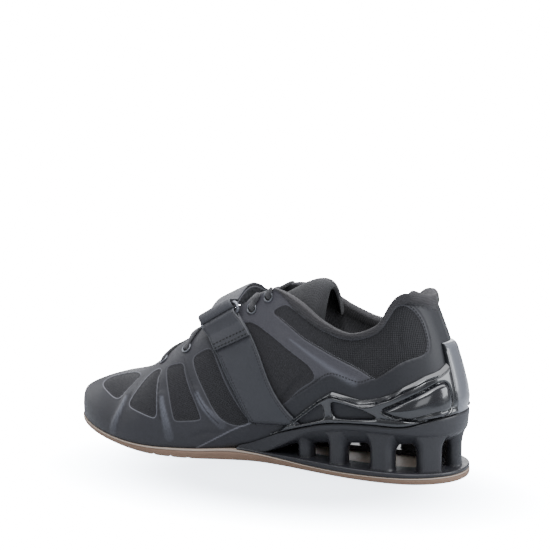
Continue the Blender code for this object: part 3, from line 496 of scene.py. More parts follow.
# corners of each panel as (place, level)
meshWindows = {
    "toeWindow": ((13.16, 0.618), (12.93, 0.535), (12.61, 0.460), (12.34, 0.413), (12.19, 0.415),
                  (12.09, 0.503), (11.98, 0.645), (11.91, 0.715), (12.34, 0.835), (12.65, 0.828),
                  (12.97, 0.780), (13.16, 0.725)),
    "secondWindow": ((11.74, 0.357), (11.71, 0.420), (11.61, 0.525), (11.51, 0.615), (11.36, 0.660),
                     (11.11, 0.652), (11.01, 0.608), (11.04, 0.570), (10.97, 0.475), (10.83, 0.333),
                     (10.76, 0.217), (10.96, 0.230), (11.30, 0.268), (11.66, 0.318)),
    "thirdWindow": ((10.85, 0.635), (10.58, 0.628), (10.30, 0.608), (10.19, 0.535), (9.95, 0.415),
                    (9.70, 0.310), (9.51, 0.212), (9.55, 0.200), (9.89, 0.195), (10.19, 0.193),
                    (10.25, 0.215), (10.39, 0.320), (10.54, 0.427), (10.72, 0.540)),
    "fourthWindow": ((10.02, 0.635), (9.80, 0.662), (9.53, 0.672), (9.18, 0.532), (8.82, 0.390),
                     (8.46, 0.263), (8.09, 0.155), (8.37, 0.145), (8.65, 0.158), (8.93, 0.200),
                     (9.18, 0.270), (9.46, 0.378), (9.74, 0.485), (9.93, 0.570)),
    "strapWindow": ((8.90, 0.800), (8.56, 0.797), (8.30, 0.765), (7.93, 0.713), (7.11, 0.662),
                    (6.39, 0.600), (6.13, 0.555), (5.96, 0.473), (6.45, 0.383), (6.91, 0.255), (7.60, 0.20),
                    (8.10, 0.40), (8.60, 0.60), (8.90, 0.72)),
    "quarterWindow": ((7.89, 0.848), (7.67, 0.888), (7.38, 0.925), (6.96, 0.910), (6.33, 0.905),
                      (5.46, 0.915), (4.90, 0.930), (4.33, 0.925), (3.78, 0.920), (3.39, 0.935),
                      (2.85, 0.955), (2.22, 0.920), (1.73, 0.818), (1.65, 0.680), (1.85, 0.585),
                      (2.54, 0.555), (3.21, 0.535), (3.92, 0.515), (4.04, 0.495), (4.53, 0.618),
                      (5.10, 0.710), (5.94, 0.753), (6.57, 0.770), (7.16, 0.807), (7.67, 0.825)),
}
counterPanel = ((6.91, 0.255), (6.43, 0.323), (6.00, 0.413), (5.61, 0.530), (5.35, 0.547), (4.98, 0.522),
                (4.55, 0.468), (4.25, 0.490), (3.69, 0.520), (3.15, 0.527), (2.40, 0.555), (1.75, 0.575),
                (1.50, 0.640), (1.47, 0.802), (1.82, 0.905), (2.20, 0.960), (1.20, 0.925), (-0.5, 0.88),
                (-0.5, -0.15), (7.6, -0.15))
# lines of the painted highlights along the raised ribs, as (place, level)
ribHighlightLines = (((11.94, 0.455), (11.98, 0.307), (12.09, 0.188), (12.18, 0.033)), ((10.72, 0.393),
              (10.62, 0.305), (10.46, 0.190), (10.34, 0.080)), ((9.73, 0.393), (9.51, 0.300), (9.25, 0.235),
              (8.92, 0.163)))
# line of the painted highlight along the band, as (place, level)
bandHighlightLine = ((7.09, 0.728), (6.81, 0.715), (6.34, 0.682), (5.88, 0.642), (5.32, 0.588), (4.87, 0.522),
              (4.51, 0.478))
toeStreak = ((14.48, 0.74), (14.17, 0.80), (13.91, 0.85), (13.39, 0.84))
weldSeam = ((9.61, 0.003), (9.35, 0.040), (8.97, 0.090), (8.49, 0.135), (8.07, 0.155), (7.6, 0.20))
grooves = (((11.94, 0.703), (11.99, 0.598), (12.06, 0.485), (12.16, 0.390)), ((11.69, 0.662),
           (11.75, 0.562), (11.81, 0.458), (11.82, 0.367)), ((11.06, 0.642), (10.97, 0.550), (10.86, 0.432),
           (10.75, 0.307), (10.63, 0.203)), ((10.34, 0.660), (10.14, 0.552), (9.89, 0.443), (9.60, 0.335),
           (9.33, 0.245), (9.00, 0.173)))
rollSeamRows = np.array(((0.0, 0.870), (1.28, 0.917), (2.3, 0.950), (3.0, 0.955), (3.5, 0.945),
                         (3.8, 0.925), (4.3, 0.930), (4.9, 0.935), (5.5, 0.925), (6.3, 0.907), (7.0, 0.917),
                         (7.6, 0.960), (8.2, 0.999), (15.0, 0.999)))
creases = (((7.3, 0.10), (6.9, 0.34), (6.2, 0.52)), ((9.9, 0.05), (9.4, 0.12), (8.9, 0.10)), ((4.6, 0.62),
           (4.9, 0.74), (4.6, 0.86)), ((3.0, 0.62), (3.1, 0.74), (2.8, 0.84)))


def roundCorners(points, times=2, closed=True, keep=0.0):
    # Chaikin: each side is cut at a quarter and three quarters, after an optional short first cut
    points = np.asarray(points, float)
    if keep:
        after = np.roll(points, -1, 0)
        points = np.stack([points + (after - points) * keep, after + (points - after) * keep],
                          1).reshape(-1, 2)
    for _ in range(times):
        after = np.roll(points, -1, 0) if closed else points[1:]
        before = points if closed else points[:-1]
        cut = np.stack([before * 0.75 + after * 0.25, before * 0.25 + after * 0.75], 1).reshape(-1, 2)
        points = cut if closed else np.concatenate([points[:1], cut, points[-1:]])
    return points


def onUpper(points, spacing=0.25 * mm, closed=True):
    # points of a (place, level) line at equal small steps on the medial face
    points = np.concatenate([points, points[:1]]) if closed else points
    dense = np.concatenate([np.linspace(a, b, 24, endpoint=False) for a, b in zip(points[:-1], points[1:])])
    place = upperPoint(dense[:, 0], np.clip(dense[:, 1], 0, 1))
    run = lengthAlong(place)
    at = np.arange(0, run[-1], spacing)
    return np.stack([np.interp(at, run, place[:, a]) for a in range(3)], -1), at / run[-1]


def distanceTo(points, line):
    # nearest distance in mm to a dense line, and the index of the nearest point
    best, index = np.empty(len(points)), np.empty(len(points), int)
    for part in np.array_split(np.arange(len(points)), 24):
        square = (np.square(points[part]).sum(1)[:, None] + np.square(line).sum(1)[None]
                  - 2 * points[part] @ line.T)
        index[part] = square.argmin(1)
        best[part] = np.sqrt(np.maximum(square.min(1), 0))
    return best / mm, index


def insideOf(s, t, polygon):
    # even-odd rule in place and level
    inside = np.zeros(s.shape, bool)
    for (s0, t0), (s1, t1) in zip(polygon, np.roll(polygon, -1, 0)):
        if t0 != t1:
            crosses = (t0 > t) != (t1 > t)
            inside ^= crosses & (s < (s1 - s0) * (t - t0) / (t1 - t0) + s0)
    return inside


halfColumns = upperLook["columns"] // 2 + 1
halfPlaces = np.linspace(0, lastPlace, halfColumns)
rollMask = 1 - softStep((halfPlaces - 7.5) / 0.8)
topLevel = 1 - 0.020 * rollMask
rowShare = np.linspace(0, 1, upperLook["outerRows"])
halfS = np.broadcast_to(halfPlaces, (len(rowShare), halfColumns)).copy()
halfT = rowShare[:, None] * topLevel[None]
halfPoints = upperPoint(halfS, halfT).reshape(-1, 3)
flatS, flatT = halfS.ravel(), halfT.ravel()

farAway = 60.0


def signedEdge(corners):
    # distance in mm from each point of the half upper to a closed outline, negative inside
    polygon = roundCorners(corners)
    away, _ = distanceTo(halfPoints, onUpper(polygon)[0])
    return np.where(insideOf(flatS, flatT, polygon), -away, away)


def nearLine(corners):
    # distance in mm from each point of the half upper to an open line, and the share of its length there
    line, along = onUpper(roundCorners(corners, 2, False), closed=False)
    away, index = distanceTo(halfPoints, line)
    return away, along[index]


windowEdge = np.full(flatS.shape, farAway)
weldTone = np.zeros(flatS.shape)
weldStrength = {"toeWindow": 1.0, "secondWindow": 0.9, "thirdWindow": 0.35, "fourthWindow": 0.3}
for name, corners in meshWindows.items():
    signed = signedEdge(corners)
    nearer = np.abs(signed) < np.abs(windowEdge)
    weldTone = np.where(nearer, weldStrength.get(name, 0.18), weldTone)
    windowEdge = np.where(nearer, signed, windowEdge)
counterEdge = signedEdge(counterPanel)
inCounter = softStep(0.5 - counterEdge / 0.7)

# each rib gets a painted highlight along it, fading down its length, and a real raised relief
ribHighlight = np.zeros(flatS.shape)
rise = np.zeros(flatS.shape)
for corners in ribHighlightLines:
    away, along = nearLine(corners)
    fade = softStep(along / 0.08) * (1 - softStep((along - 0.25) / 0.85) * 0.75)
    width = 1.2 + 2.0 * along
    ribHighlight = np.maximum(ribHighlight, softStep((width + 0.6 - away) / 1.2) * fade)
    rise = np.maximum(rise, bell(away / 2.6) * softStep((1.05 - along) / 0.3))
away, along = nearLine(bandHighlightLine)
bandGlint = bell(away / (0.5 + 2.2 * along)) * softStep(along / 0.05) * softStep((1 - along) / 0.08)
away, along = nearLine(toeStreak)
toeGlint = bell(away / 1.6) * softStep(along / 0.2) * softStep((1 - along) / 0.2)
grooveEdge = np.full(flatS.shape, farAway)
for corners in grooves:
    grooveEdge = np.minimum(grooveEdge, nearLine(corners)[0])
seamEdge, _ = nearLine(weldSeam)
crease = np.zeros(flatS.shape)
for corners in creases:
    away, along = nearLine(corners)
    crease += np.sin(np.pi * along) ** 0.7 * (-0.45 * bell(away / 1.8) + 0.25 * bell((away - 4.0) / 2.6))

seamLevel = np.interp(flatS, rollSeamRows[:, 0], rollSeamRows[:, 1])
sectionHeight = (upperPoint(halfPlaces, 1.0) - upperPoint(halfPlaces, 0.0))[:, 2] / mm
rollEdge = (flatT - seamLevel) * np.broadcast_to(sectionHeight, halfS.shape).ravel()
rollShare = np.clip((flatT - seamLevel)
                    / np.maximum(np.broadcast_to(topLevel, halfS.shape).ravel() - seamLevel, 1e-3), 0, 1)
flatRoll = np.broadcast_to(rollMask, halfS.shape).ravel()
inRoll = flatRoll * softStep(rollEdge / 0.6 + 0.5)

overlay = upperLook["panelStep"] * softStep(windowEdge / 0.9 + 0.5)
lift = np.where(counterEdge < 3,
                np.maximum(overlay * (1 - inCounter), upperLook["counterStep"] * inCounter), overlay)
rollOut = np.interp(flatS, rollRows[:, 0], rollRows[:, 1])
lift = lift * (1 - inRoll) + flatRoll * rollOut * np.sqrt(rollShare * (2 - rollShare))
lift += upperLook["ribRise"] * rise - 0.35 * bell(grooveEdge / 0.55) + 0.35 * bell(seamEdge / 0.7)
lift -= 0.45 * flatRoll * bell(rollEdge / 0.9)
lift += 0.10 * bell((np.abs(windowEdge) - 1.0) / 0.5) * (windowEdge > 0) + crease
lift += 0.35 * softStep(-windowEdge / 7.0) * (1 - flatRoll * 0.6)
lift *= softStep(flatT / 0.02)

mirrorIndex = np.concatenate([np.arange(halfColumns), np.arange(halfColumns - 2, 0, -1)])


def bothSides(half):
    # values of the medial half repeated on the lateral half
    return half.reshape(len(rowShare), halfColumns)[:, mirrorIndex]


columns = upperLook["columns"]
places = np.arange(columns) * wholeLoop / columns
ridge = station(places) > ridgeStart - 0.01
mirrored = (-np.arange(columns)) % columns
fullT = bothSides(halfT)
fullPlaces = np.broadcast_to(places, fullT.shape)
fullLift = bothSides(lift)
outer = upperOffset(fullPlaces, fullT, fullLift * mm)
footX, footY, _, _ = soleEdge(places, upperRow("inset", places) * mm)
outer[0] = np.stack([footX, footY, seatHeight(footX) + last["gap"]], -1)


def closeRidge(points):
    # both sides meet along the ridge over the toes
    points = points.copy()
    shared = (points + points[mirrored]) / 2
    points[ridge] = shared[ridge]
    return points


outer[-1] = closeRidge(outer[-1])
rollRound = 1 - softStep((station(places) - 7.5) / 0.8)
rollIn, nearCrown, farCrown = (np.interp(station(places), rollRows[:, 0], rollRows[:, c])
                               for c in (2, 3, 4))
rollCrown = np.where(places > lastPlace, farCrown, nearCrown)
innerShare = np.linspace(1, 0.02, upperLook["innerRows"])
inner = []
for share in innerShare:
    depth = upperLook["wall"] + rollIn * rollRound * softStep((share - 0.78) / 0.16)
    inner.append(upperOffset(places, share * bothSides(halfT)[-1], -depth * mm))
inner = np.array(inner)
inner[0] = closeRidge(inner[0])
middle, reach = (outer[-1] + inner[0]) / 2, (outer[-1] - inner[0]) / 2
upward = unit(outer[-1] - outer[-4])
crown = (0.9 + (rollCrown - 0.9) * rollRound)[:, None] * mm
rim = []
for turn in np.linspace(0, math.pi, upperLook["rimRows"] + 2)[1:-1]:
    row = middle + reach * math.cos(turn) + upward * crown * math.sin(turn)
    row[ridge] = (middle + reach * math.cos(turn))[ridge]
    rim.append(row)
x, y, _, _ = soleEdge(places, upperRow("inset", places) * mm + upperLook["margin"] * mm)
marginLow = np.stack([x, y, seatHeight(x) + last["gap"]], -1)
marginHigh = marginLow + np.array((0, 0, upperLook["wall"] * mm))
rows = np.concatenate([[marginLow], outer, rim, inner, [marginHigh]])
faces = np.array(gridFaces(len(rows), columns, wrap=True)).reshape(len(rows) - 1, columns, 4)
keep = np.ones(faces.shape[:2], bool)
rimStart = len(outer)
keep[rimStart:rimStart + len(rim) + 1, :] = ~(ridge & np.roll(ridge, -1))[None, :]
faces = faces[keep].tolist()
total = len(rows)
faces += [[k, (k + 1) % columns, (total - 1) * columns + (k + 1) % columns, (total - 1) * columns + k]
          for k in range(columns)]


def fillRows(half, below, above):
    # the outer rows' values, with fixed values on the margin, rim and lining rows
    body = bothSides(half)
    edgeRow = body[-1:] if above is None else np.full((1, columns), above)
    top = np.repeat(edgeRow, len(rim) + len(inner) + 1, 0)
    return np.concatenate([np.full((1, columns), below), body, top]).ravel()


perimeter = lengthAlong(upperPoint(halfPlaces, 0.3)) / mm
arc = np.broadcast_to(perimeter, halfS.shape).ravel()
rise3d = halfT.ravel() * np.broadcast_to(sectionHeight, halfS.shape).ravel()
clothPlace = np.stack([fillRows(arc, 0, None), fillRows(rise3d, 0, None), np.zeros(total * columns)], -1)
rowNumber = np.repeat(np.arange(total), columns)
clothPlace[:, 1] = np.where(rowNumber > len(outer), clothPlace[:, 1] + (rowNumber - len(outer)) * 1.3,
                            clothPlace[:, 1])
lining = np.where(rowNumber > len(outer) + len(rim) + 2, 1.0, 0.0)

upperMaterial, tree, shader = newMaterial("shoeUpper")
place = fromAttribute(tree, "clothPlace", "Vector")
window = fromAttribute(tree, "windowEdge")
counter = fromAttribute(tree, "counterEdge")
roll = fromAttribute(tree, "rollMask")
split = addNode(tree, "ShaderNodeSeparateXYZ", None, _0=place)
turned = addNode(tree, "ShaderNodeMapping", None, Vector=place, Rotation=(0, 0, 0.5)).outputs[0]
cellOut = useGroup(tree, cellGroup, Vector=turned, Pitch=1.05)
ribOut = useGroup(tree, ribGroup, Across=split.outputs[0], Along=split.outputs[1], Pitch=1.5)
grainOut = useGroup(tree, grainGroup, Vector=place, Size=0.55)
scuffOut = useGroup(tree, scuffGroup, Vector=millimetres(tree))
behind = ease(tree, split.outputs[0], 96.0, 110.0, 1.0, 0.0)
meshHeight = mixValue(tree, behind, cellOut["Height"], ribOut["Height"])
inMesh = ease(tree, window, -0.25, 0.15, 1.0, 0.0)
meshTone = mixColour(tree, meshHeight, upperLook["meshHole"], upperLook["meshColour"])
heather = ease(tree, noise(tree, place, 1.6, 2.0), 0.42, 0.62)
panelTone = mixColour(tree, grainOut["Tone"], shade(upperLook["panelColour"], 0.82),
                      shade(upperLook["panelColour"], 1.2))
band = fromAttribute(tree, "bandMask")
bandTone = mixColour(tree, heather, shade(upperLook["bandColour"], 0.72), upperLook["bandColour"])
panelTone = mixColour(tree, band, panelTone, bandTone)
colour = mixColour(tree, inMesh, panelTone, meshTone)
weld = calc(tree, "MULTIPLY",
            ease(tree, calc(tree, "ABSOLUTE", calc(tree, "SUBTRACT", window, 0.55)), 0.18, 0.42, 1.0, 0.0),
            fromAttribute(tree, "weldTone"))
colour = mixColour(tree, weld, colour, upperLook["weldColour"])
seamLine = calc(tree, "MULTIPLY", ease(tree, fromAttribute(tree, "seamEdge"), 0.3, 0.9, 1.0, 0.0), 0.9)
colour = mixColour(tree, seamLine, colour, upperLook["weldColour"])
inCounterNode = ease(tree, counter, -0.1, 0.3, 1.0, 0.0)
counterTone = mixColour(tree, grainOut["Tone"], shade(upperLook["counterColour"], 0.85),
                        shade(upperLook["counterColour"], 1.15))
colour = mixColour(tree, inCounterNode, colour, counterTone)
stretched = vectorCalc(tree, "MULTIPLY", place, (1.6, 0.5, 1))
highlightBreakup = ease(tree, noise(tree, stretched, 1.2, 3.0, 0.65), 0.30, 0.72)
dots = mixValue(tree, 0.75, 1.0, useGroup(tree, cellGroup, Vector=place, Pitch=1.0)["Height"])
# painted highlight along the raised ribs, broken up by stretched noise
ribHighlightMask = calc(tree, "MULTIPLY", fromAttribute(tree, "ribHighlight"),
                  calc(tree, "MULTIPLY_ADD", highlightBreakup, 0.5, 0.32))
# dotted painted highlight along the band; both painted highlights take the highlight colour
glintMask = calc(tree, "MULTIPLY", fromAttribute(tree, "bandGlint"), calc(tree, "MULTIPLY", dots, 0.6))
colour = mixColour(tree, calc(tree, "MAXIMUM", ribHighlightMask, glintMask), colour, upperLook["highlightColour"])
# painted shade in the grooves between the ribs
grooveShade = ease(tree, fromAttribute(tree, "grooveEdge"), 0.2, 0.8, 0.75, 0.0)
colour = mixColour(tree, grooveShade, colour, (0.012, 0.012, 0.014))
rollRib = useGroup(tree, ribGroup, Across=split.outputs[1], Along=split.outputs[0], Pitch=1.0)["Height"]
rollTone = mixColour(tree, rollRib, shade(upperLook["rollColour"], 0.55), upperLook["rollColour"])
colour = mixColour(tree, roll, colour, rollTone)
inside = fromAttribute(tree, "lining")
colour = mixColour(tree, inside, colour, upperLook["liningColour"])
dust = calc(tree, "MULTIPLY", scuffOut["Mask"], 0.10)
colour = mixColour(tree, dust, colour, (0.30, 0.29, 0.28))
smoothRough = calc(tree, "MULTIPLY_ADD", grainOut["Tone"], 0.16, 0.46)
matt = calc(tree, "MAXIMUM", inMesh, calc(tree, "MAXIMUM", roll, inside))
rough = mixValue(tree, matt, smoothRough, 0.88)
rough = mixValue(tree, inCounterNode, rough, calc(tree, "MULTIPLY_ADD", grainOut["Tone"], 0.12, 0.44))
rough = mixValue(tree, fromAttribute(tree, "toeGlint"), rough, 0.22)
panelRelief = calc(tree, "MULTIPLY", grainOut["Height"], 0.22)
relief = mixValue(tree, inMesh, panelRelief, meshHeight)
relief = mixValue(tree, inCounterNode, relief, calc(tree, "MULTIPLY", grainOut["Height"], 0.16))
relief = mixValue(tree, roll, relief, calc(tree, "MULTIPLY", rollRib, 0.9))
finishShader(tree, shader, colour, rough, relief, depth=0.30, Sheen_Weight=0.04, Sheen_Roughness=0.5,
             Specular_IOR_Level=0.34)

bandShare = softStep((flatS - 3.9) / 0.4) * softStep((9.2 - flatS) / 0.6)
bandShare *= softStep((windowEdge + 0.3) / 0.6)
bandShare *= softStep((flatT - 0.45) / 0.08) * (1 - inCounter) * (1 - inRoll)
upper = makePiece("shoeUpper", rows, faces, upperMaterial, ("upper",), "upper", {
    "clothPlace": clothPlace, "windowEdge": fillRows(windowEdge, 20, 20),
    "counterEdge": fillRows(counterEdge, -5, 20),
    "rollMask": fillRows(inRoll, 0, None), "ribHighlight": fillRows(ribHighlight, 0, 0),
    "bandGlint": fillRows(bandGlint, 0, 0),
    "toeGlint": fillRows(toeGlint, 0, 0), "grooveEdge": fillRows(grooveEdge, farAway, farAway),
    "seamEdge": fillRows(seamEdge, farAway, farAway), "weldTone": fillRows(weldTone, 0, 0),
    "bandMask": fillRows(bandShare, 0, 0),
    "lining": lining}, sharp=75)
print("upper built", len(upper.data.polygons), "faces")

# sole: gum, lower plate, upper plate, pillars

soleLook = {
    "gumColour": (0.190, 0.122, 0.086), "gumPale": (0.34, 0.28, 0.23),
    "frameColour": (0.0135, 0.0138, 0.0170),
    "places": 301, "frameFront": 118.0, "plate": 3.0, "skirt": 7.0, "rimWidth": 2.2, "windowBorder": 18.0,
    "windowFront": 78.0, "grooveX": (150.0, 161.5, 173.0), "grooveDepth": 0.9,
}


def placeAtX(x):
    # place on the medial side where the sole's edge passes x
    steps = np.linspace(0, lastPlace, 1501)
    return np.interp(x, loopCurve(loopX, steps), steps)


gumMaterial, tree, shader = newMaterial("gumRubber")
place = millimetres(tree)
grainOut = useGroup(tree, grainGroup, Vector=place, Size=0.8)
edge = fromAttribute(tree, "gumEdge")
colour = mixColour(tree, grainOut["Tone"], shade(soleLook["gumColour"], 0.85),
                   shade(soleLook["gumColour"], 1.15))
colour = mixColour(tree, ease(tree, edge, 0.72, 0.86), colour, soleLook["gumPale"])
speck = ease(tree, noise(tree, place, 2.4, 2.0), 0.66, 0.76)
colour = mixColour(tree, calc(tree, "MULTIPLY", speck, 0.35), colour, (0.12, 0.07, 0.045))
scuffOut = useGroup(tree, scuffGroup, Vector=place)
colour = mixColour(tree, calc(tree, "MULTIPLY", scuffOut["Mask"], 0.25), colour, (0.42, 0.34, 0.27))
split = addNode(tree, "ShaderNodeSeparateXYZ", None, _0=place)
tread = calc(tree, "PINGPONG", calc(tree, "ADD", split.outputs[0],
             calc(tree, "MULTIPLY", calc(tree, "PINGPONG", split.outputs[1], 4.0), 0.8)), 1.6)
treadHeight = calc(tree, "MULTIPLY", ease(tree, tread, 0.5, 0.9), fromAttribute(tree, "underSole"))
height = calc(tree, "MULTIPLY_ADD", treadHeight, 2.2, calc(tree, "MULTIPLY", grainOut["Height"], 0.35))
finishShader(tree, shader, colour, calc(tree, "MULTIPLY_ADD", grainOut["Tone"], 0.2, 0.45), height,
             depth=0.30,
             Specular_IOR_Level=0.35)

around = np.linspace(-lastPlace, lastPlace, 2 * soleLook["places"] - 1)
profile = ((6.0, 0.0, 0.0), (3.0, 0.0, 0.0), (1.3, 0.0, 0.0), (0.75, 0.10, 0.0), (0.30, 0.32, 0.0),
           (0.06, 0.70, 0.0), (0.0, 1.2, 0.0), (-0.12, 0.0, 0.35), (-0.15, 0.0, 0.50), (-0.05, 0.0, 0.66),
           (0.28, 0.0, 0.70), (0.28, 0.0, 0.74), (-0.05, 0.0, 0.78), (-0.10, 0.0, 0.90), (0.05, 0.0, 0.97),
           (0.45, 0.0, 1.0), (6.0, 0.0, 1.0))
rings, gumEdge, underSole = [], [], []
for inset, rise0, share in profile:
    x, y, _, _ = soleEdge(around, inset * mm)
    bottom, top = springHeight(x), gumTop(x)
    z = np.where(share > 0, bottom + 1.2 * mm + (top - bottom - 1.2 * mm) * share, bottom + rise0 * mm)
    if share == 0:
        cut = sum(bell((x / mm - gx) / 0.9) for gx in soleLook["grooveX"])
        z = z + soleLook["grooveDepth"] * mm * np.clip(cut, 0, 1) * (1 - rise0 / 1.4)
    rings.append(np.stack([x, y, z], -1))
    gumEdge.append(np.full(len(x), share))
    underSole.append(np.full(len(x), 1.0 if share == 0 and rise0 == 0 else 0.0))
plate("gumSole", rings, gumMaterial, stands=("outsole",), slotName="outsole",
      values={"gumEdge": np.concatenate(gumEdge), "underSole": np.concatenate(underSole)}, sharp=50)

frameMaterial, tree, shader = newMaterial("mouldedFrame")
place = millimetres(tree)
grainOut = useGroup(tree, grainGroup, Vector=place, Size=0.35)
scuffOut = useGroup(tree, scuffGroup, Vector=place)
colour = mixColour(tree, grainOut["Tone"], shade(soleLook["frameColour"], 0.85),
                   shade(soleLook["frameColour"], 1.2))
colour = mixColour(tree, calc(tree, "MULTIPLY", scuffOut["Mask"], 0.12), colour, (0.25, 0.25, 0.26))
# painted highlight on the frame's sharp convex edges
edgeHighlight = ease(tree, addNode(tree, "ShaderNodeNewGeometry").outputs["Pointiness"], 0.52, 0.60, 0.0, 0.5)
colour = mixColour(tree, edgeHighlight, colour, (0.085, 0.087, 0.095))
finishShader(tree, shader, colour, calc(tree, "MULTIPLY_ADD", grainOut["Tone"], 0.22, 0.30),
             calc(tree, "MULTIPLY", grainOut["Height"], 0.3), depth=0.12, Specular_IOR_Level=0.5)

plateTop = float(gumTop(0.0)) + last["gap"] + soleLook["plate"] * mm
frontPlace = placeAtX(soleLook["frameFront"] * mm)
framePlaces = np.linspace(-frontPlace, frontPlace, 261)


def lowerPlateRing(inset, share):
    # height goes from the gum to the plate's top, which meets the seat at the wedge
    x, y, _, _ = soleEdge(framePlaces, inset * mm)
    low = gumTop(x) + last["gap"]
    high = np.minimum(np.maximum(plateTop, low + 1.5 * mm), seatHeight(x) - last["gap"])
    return np.stack([x, y, low + (high - low) * share], -1)


lowerPlate = plate("frameLowerPlate", [lowerPlateRing(*p) for p in (
    (4, 0), (0.7, 0), (0.25, 0.10), (0.02, 0.3), (0.0, 0.5), (0.04, 0.72), (0.28, 0.90), (0.8, 0.985),
    (1.6, 1.0), (4, 1.0))],
    frameMaterial, stands=("heel_frame",), slotName="heel_frame", sharp=50)
openEnd = placeAtX(soleLook["windowFront"] * mm)
openPlaces = np.linspace(-openEnd, openEnd, 121)
cutter = plate("plateOpening", [np.stack([*soleEdge(openPlaces, soleLook["windowBorder"] * mm)[:2],
                                          np.full(121, h)], -1) for h in (0.002, plateTop + 0.001)],
               frameMaterial)


def applyModifiers(piece):
    shown = piece.evaluated_get(bpy.context.evaluated_depsgraph_get())
    mesh = bpy.data.meshes.new_from_object(shown)
    piece.modifiers.clear()
    piece.data = mesh
    mesh.set_sharp_from_angle(angle=math.radians(42))


def cutWith(piece, cutters):
    for other in cutters:
        change = piece.modifiers.new("cut", "BOOLEAN")
        change.operation, change.solver, change.object = "DIFFERENCE", "EXACT", other
    bpy.context.view_layer.update()
    applyModifiers(piece)
    for other in cutters:
        bpy.data.objects.remove(other, do_unlink=True)


cutWith(lowerPlate, [cutter])
x, y, nx, ny = soleEdge(framePlaces)
fade = softStep((soleLook["frameFront"] - x / mm) / 60)
inset = 2.0 * (0.25 + 0.75 * fade)
lowest = gumTop(x) + last["gap"] + 0.6 * mm


def skirtRing(extra, name, drop=0.0):
    px, py, _, _ = soleEdge(framePlaces, (inset + extra * fade) * mm)
    return np.stack([px, py, np.maximum(frameHeight(name, px) + drop * mm * fade, lowest)], -1)


def rimRing(outward, drop):
    height = np.maximum(frameHeight("rim", x) - drop * mm * (0.3 + 0.7 * fade), lowest)
    out = (0.8 + 0.6 + outward * (0.3 + 0.7 * fade)) * mm
    return offsetAtHeight(framePlaces, height[:, None], out[:, None])[:, 0]


under, skirt = skirtRing(soleLook["skirt"], "under"), skirtRing(0.0, "skirt")
rimLow, rimTop = rimRing(soleLook["rimWidth"], 1.4), rimRing(soleLook["rimWidth"] * 0.65, 0.0)
footX, footY, _, _ = soleEdge(framePlaces, upperRow("inset", framePlaces) * mm - 1.4 * mm)
seatRing = np.stack([footX, footY, frameHeight("seat", footX)], -1)
innerUnder = skirtRing(soleLook["skirt"] + 6, "under", 0.2)
controls = np.array([innerUnder, under,
                     under * 0.55 + skirt * 0.45 + np.array((0, 0, -0.9 * mm)) * fade[:, None],
                     skirt, skirt * 0.6 + rimLow * 0.4 + np.stack([nx, ny, nx * 0], -1) * 0.35 * mm
                     * fade[:, None],
                     rimLow, rimTop, rimRing(0.15, 0.15), rimRing(0.0, 1.2), seatRing])
fineIndex = np.concatenate([np.linspace(0, 8, 49), [9]])
rings = np.stack([np.array([smoothCurve(np.arange(len(controls)), controls[:, k, a], fineIndex)
                            for k in range(len(framePlaces))]).T for a in range(3)], -1)
rings[..., 2] = np.maximum(rings[..., 2], lowest[None])
rings[:, (0, -1), 0] = soleLook["frameFront"] * mm - last["gap"]
rings[:, (0, -1), 1] = rings[0, (0, -1), 1]
rings[:, (0, -1), 2] = np.linspace(rings[0, (0, -1), 2], rings[-1, (0, -1), 2], len(rings))
plate("frameUpperPlate", rings, frameMaterial, stands=("heel_frame",), slotName="heel_frame", sharp=60)

pillarRows = ((0.366, 0.220, 0.060), (0.276, 0.285, 0.070), (0.166, 0.305, 0.088), (0.066, 0.225, 0.086))
pillars = [(row, 1) for row in pillarRows] + [(row, -1) for row in pillarRows] + [((0.033, 0.0, 0.058), 1)]
pillarSides, pillarRings = 48, 34
turn = np.linspace(0, 2 * math.pi, pillarSides, endpoint=False)
share = np.linspace(0, 1, pillarRings)
filletShare = np.clip((share - 0.60) / 0.40, 0, 1)
flare = 1 + 0.15 * (1 - np.clip(share / 0.14, 0, 1)) ** 2 + 0.62 * (1 - np.sqrt(1 - filletShare ** 2))
edgeX, edgeY, edgeOutX, edgeOutY = soleEdge(np.linspace(0, wholeLoop, 1200, endpoint=False))
points, faces = [], []
for (along, side, radius), hand in pillars:
    # a fillet spreads each pillar until it meets the slope under the plate, and stays inside the plate's edge
    px, py = along * last["length"] - last["heelBack"], hand * side * last["ballWidth"]
    r = (radius * last["ballWidth"] * flare)[:, None]
    ring = np.stack([px + r * np.cos(turn), py + r * np.sin(turn)], -1)
    near = np.hypot(ring[..., :1] - edgeX, ring[..., 1:] - edgeY).argmin(-1)
    outward = np.stack([edgeOutX[near], edgeOutY[near]], -1)
    depth = np.sum((np.stack([edgeX[near], edgeY[near]], -1) - ring) * outward, -1) / mm
    ring = ring - outward * (np.maximum(2.4 - depth, 0) * mm)[..., None]
    slope = np.clip((9 - np.maximum(depth, 2.4)) / 7, 0, 1)
    low = plateTop - 1.2 * mm
    high = frameHeight("under", ring[..., 0]) * (1 - slope)
    high += frameHeight("skirt", ring[..., 0]) * slope + 0.5 * mm
    ring = np.concatenate([ring, (low + (high - low) * share[:, None])[..., None]], -1)
    faces += ropeFaces(pillarRings, pillarSides, len(points) * pillarRings * pillarSides)
    points.append(ring.reshape(-1, 3))
makePiece("framePillars", np.concatenate(points), faces, frameMaterial, ("heel_frame",), "heel_frame",
          sharp=50)
print("sole built")

# heel cage

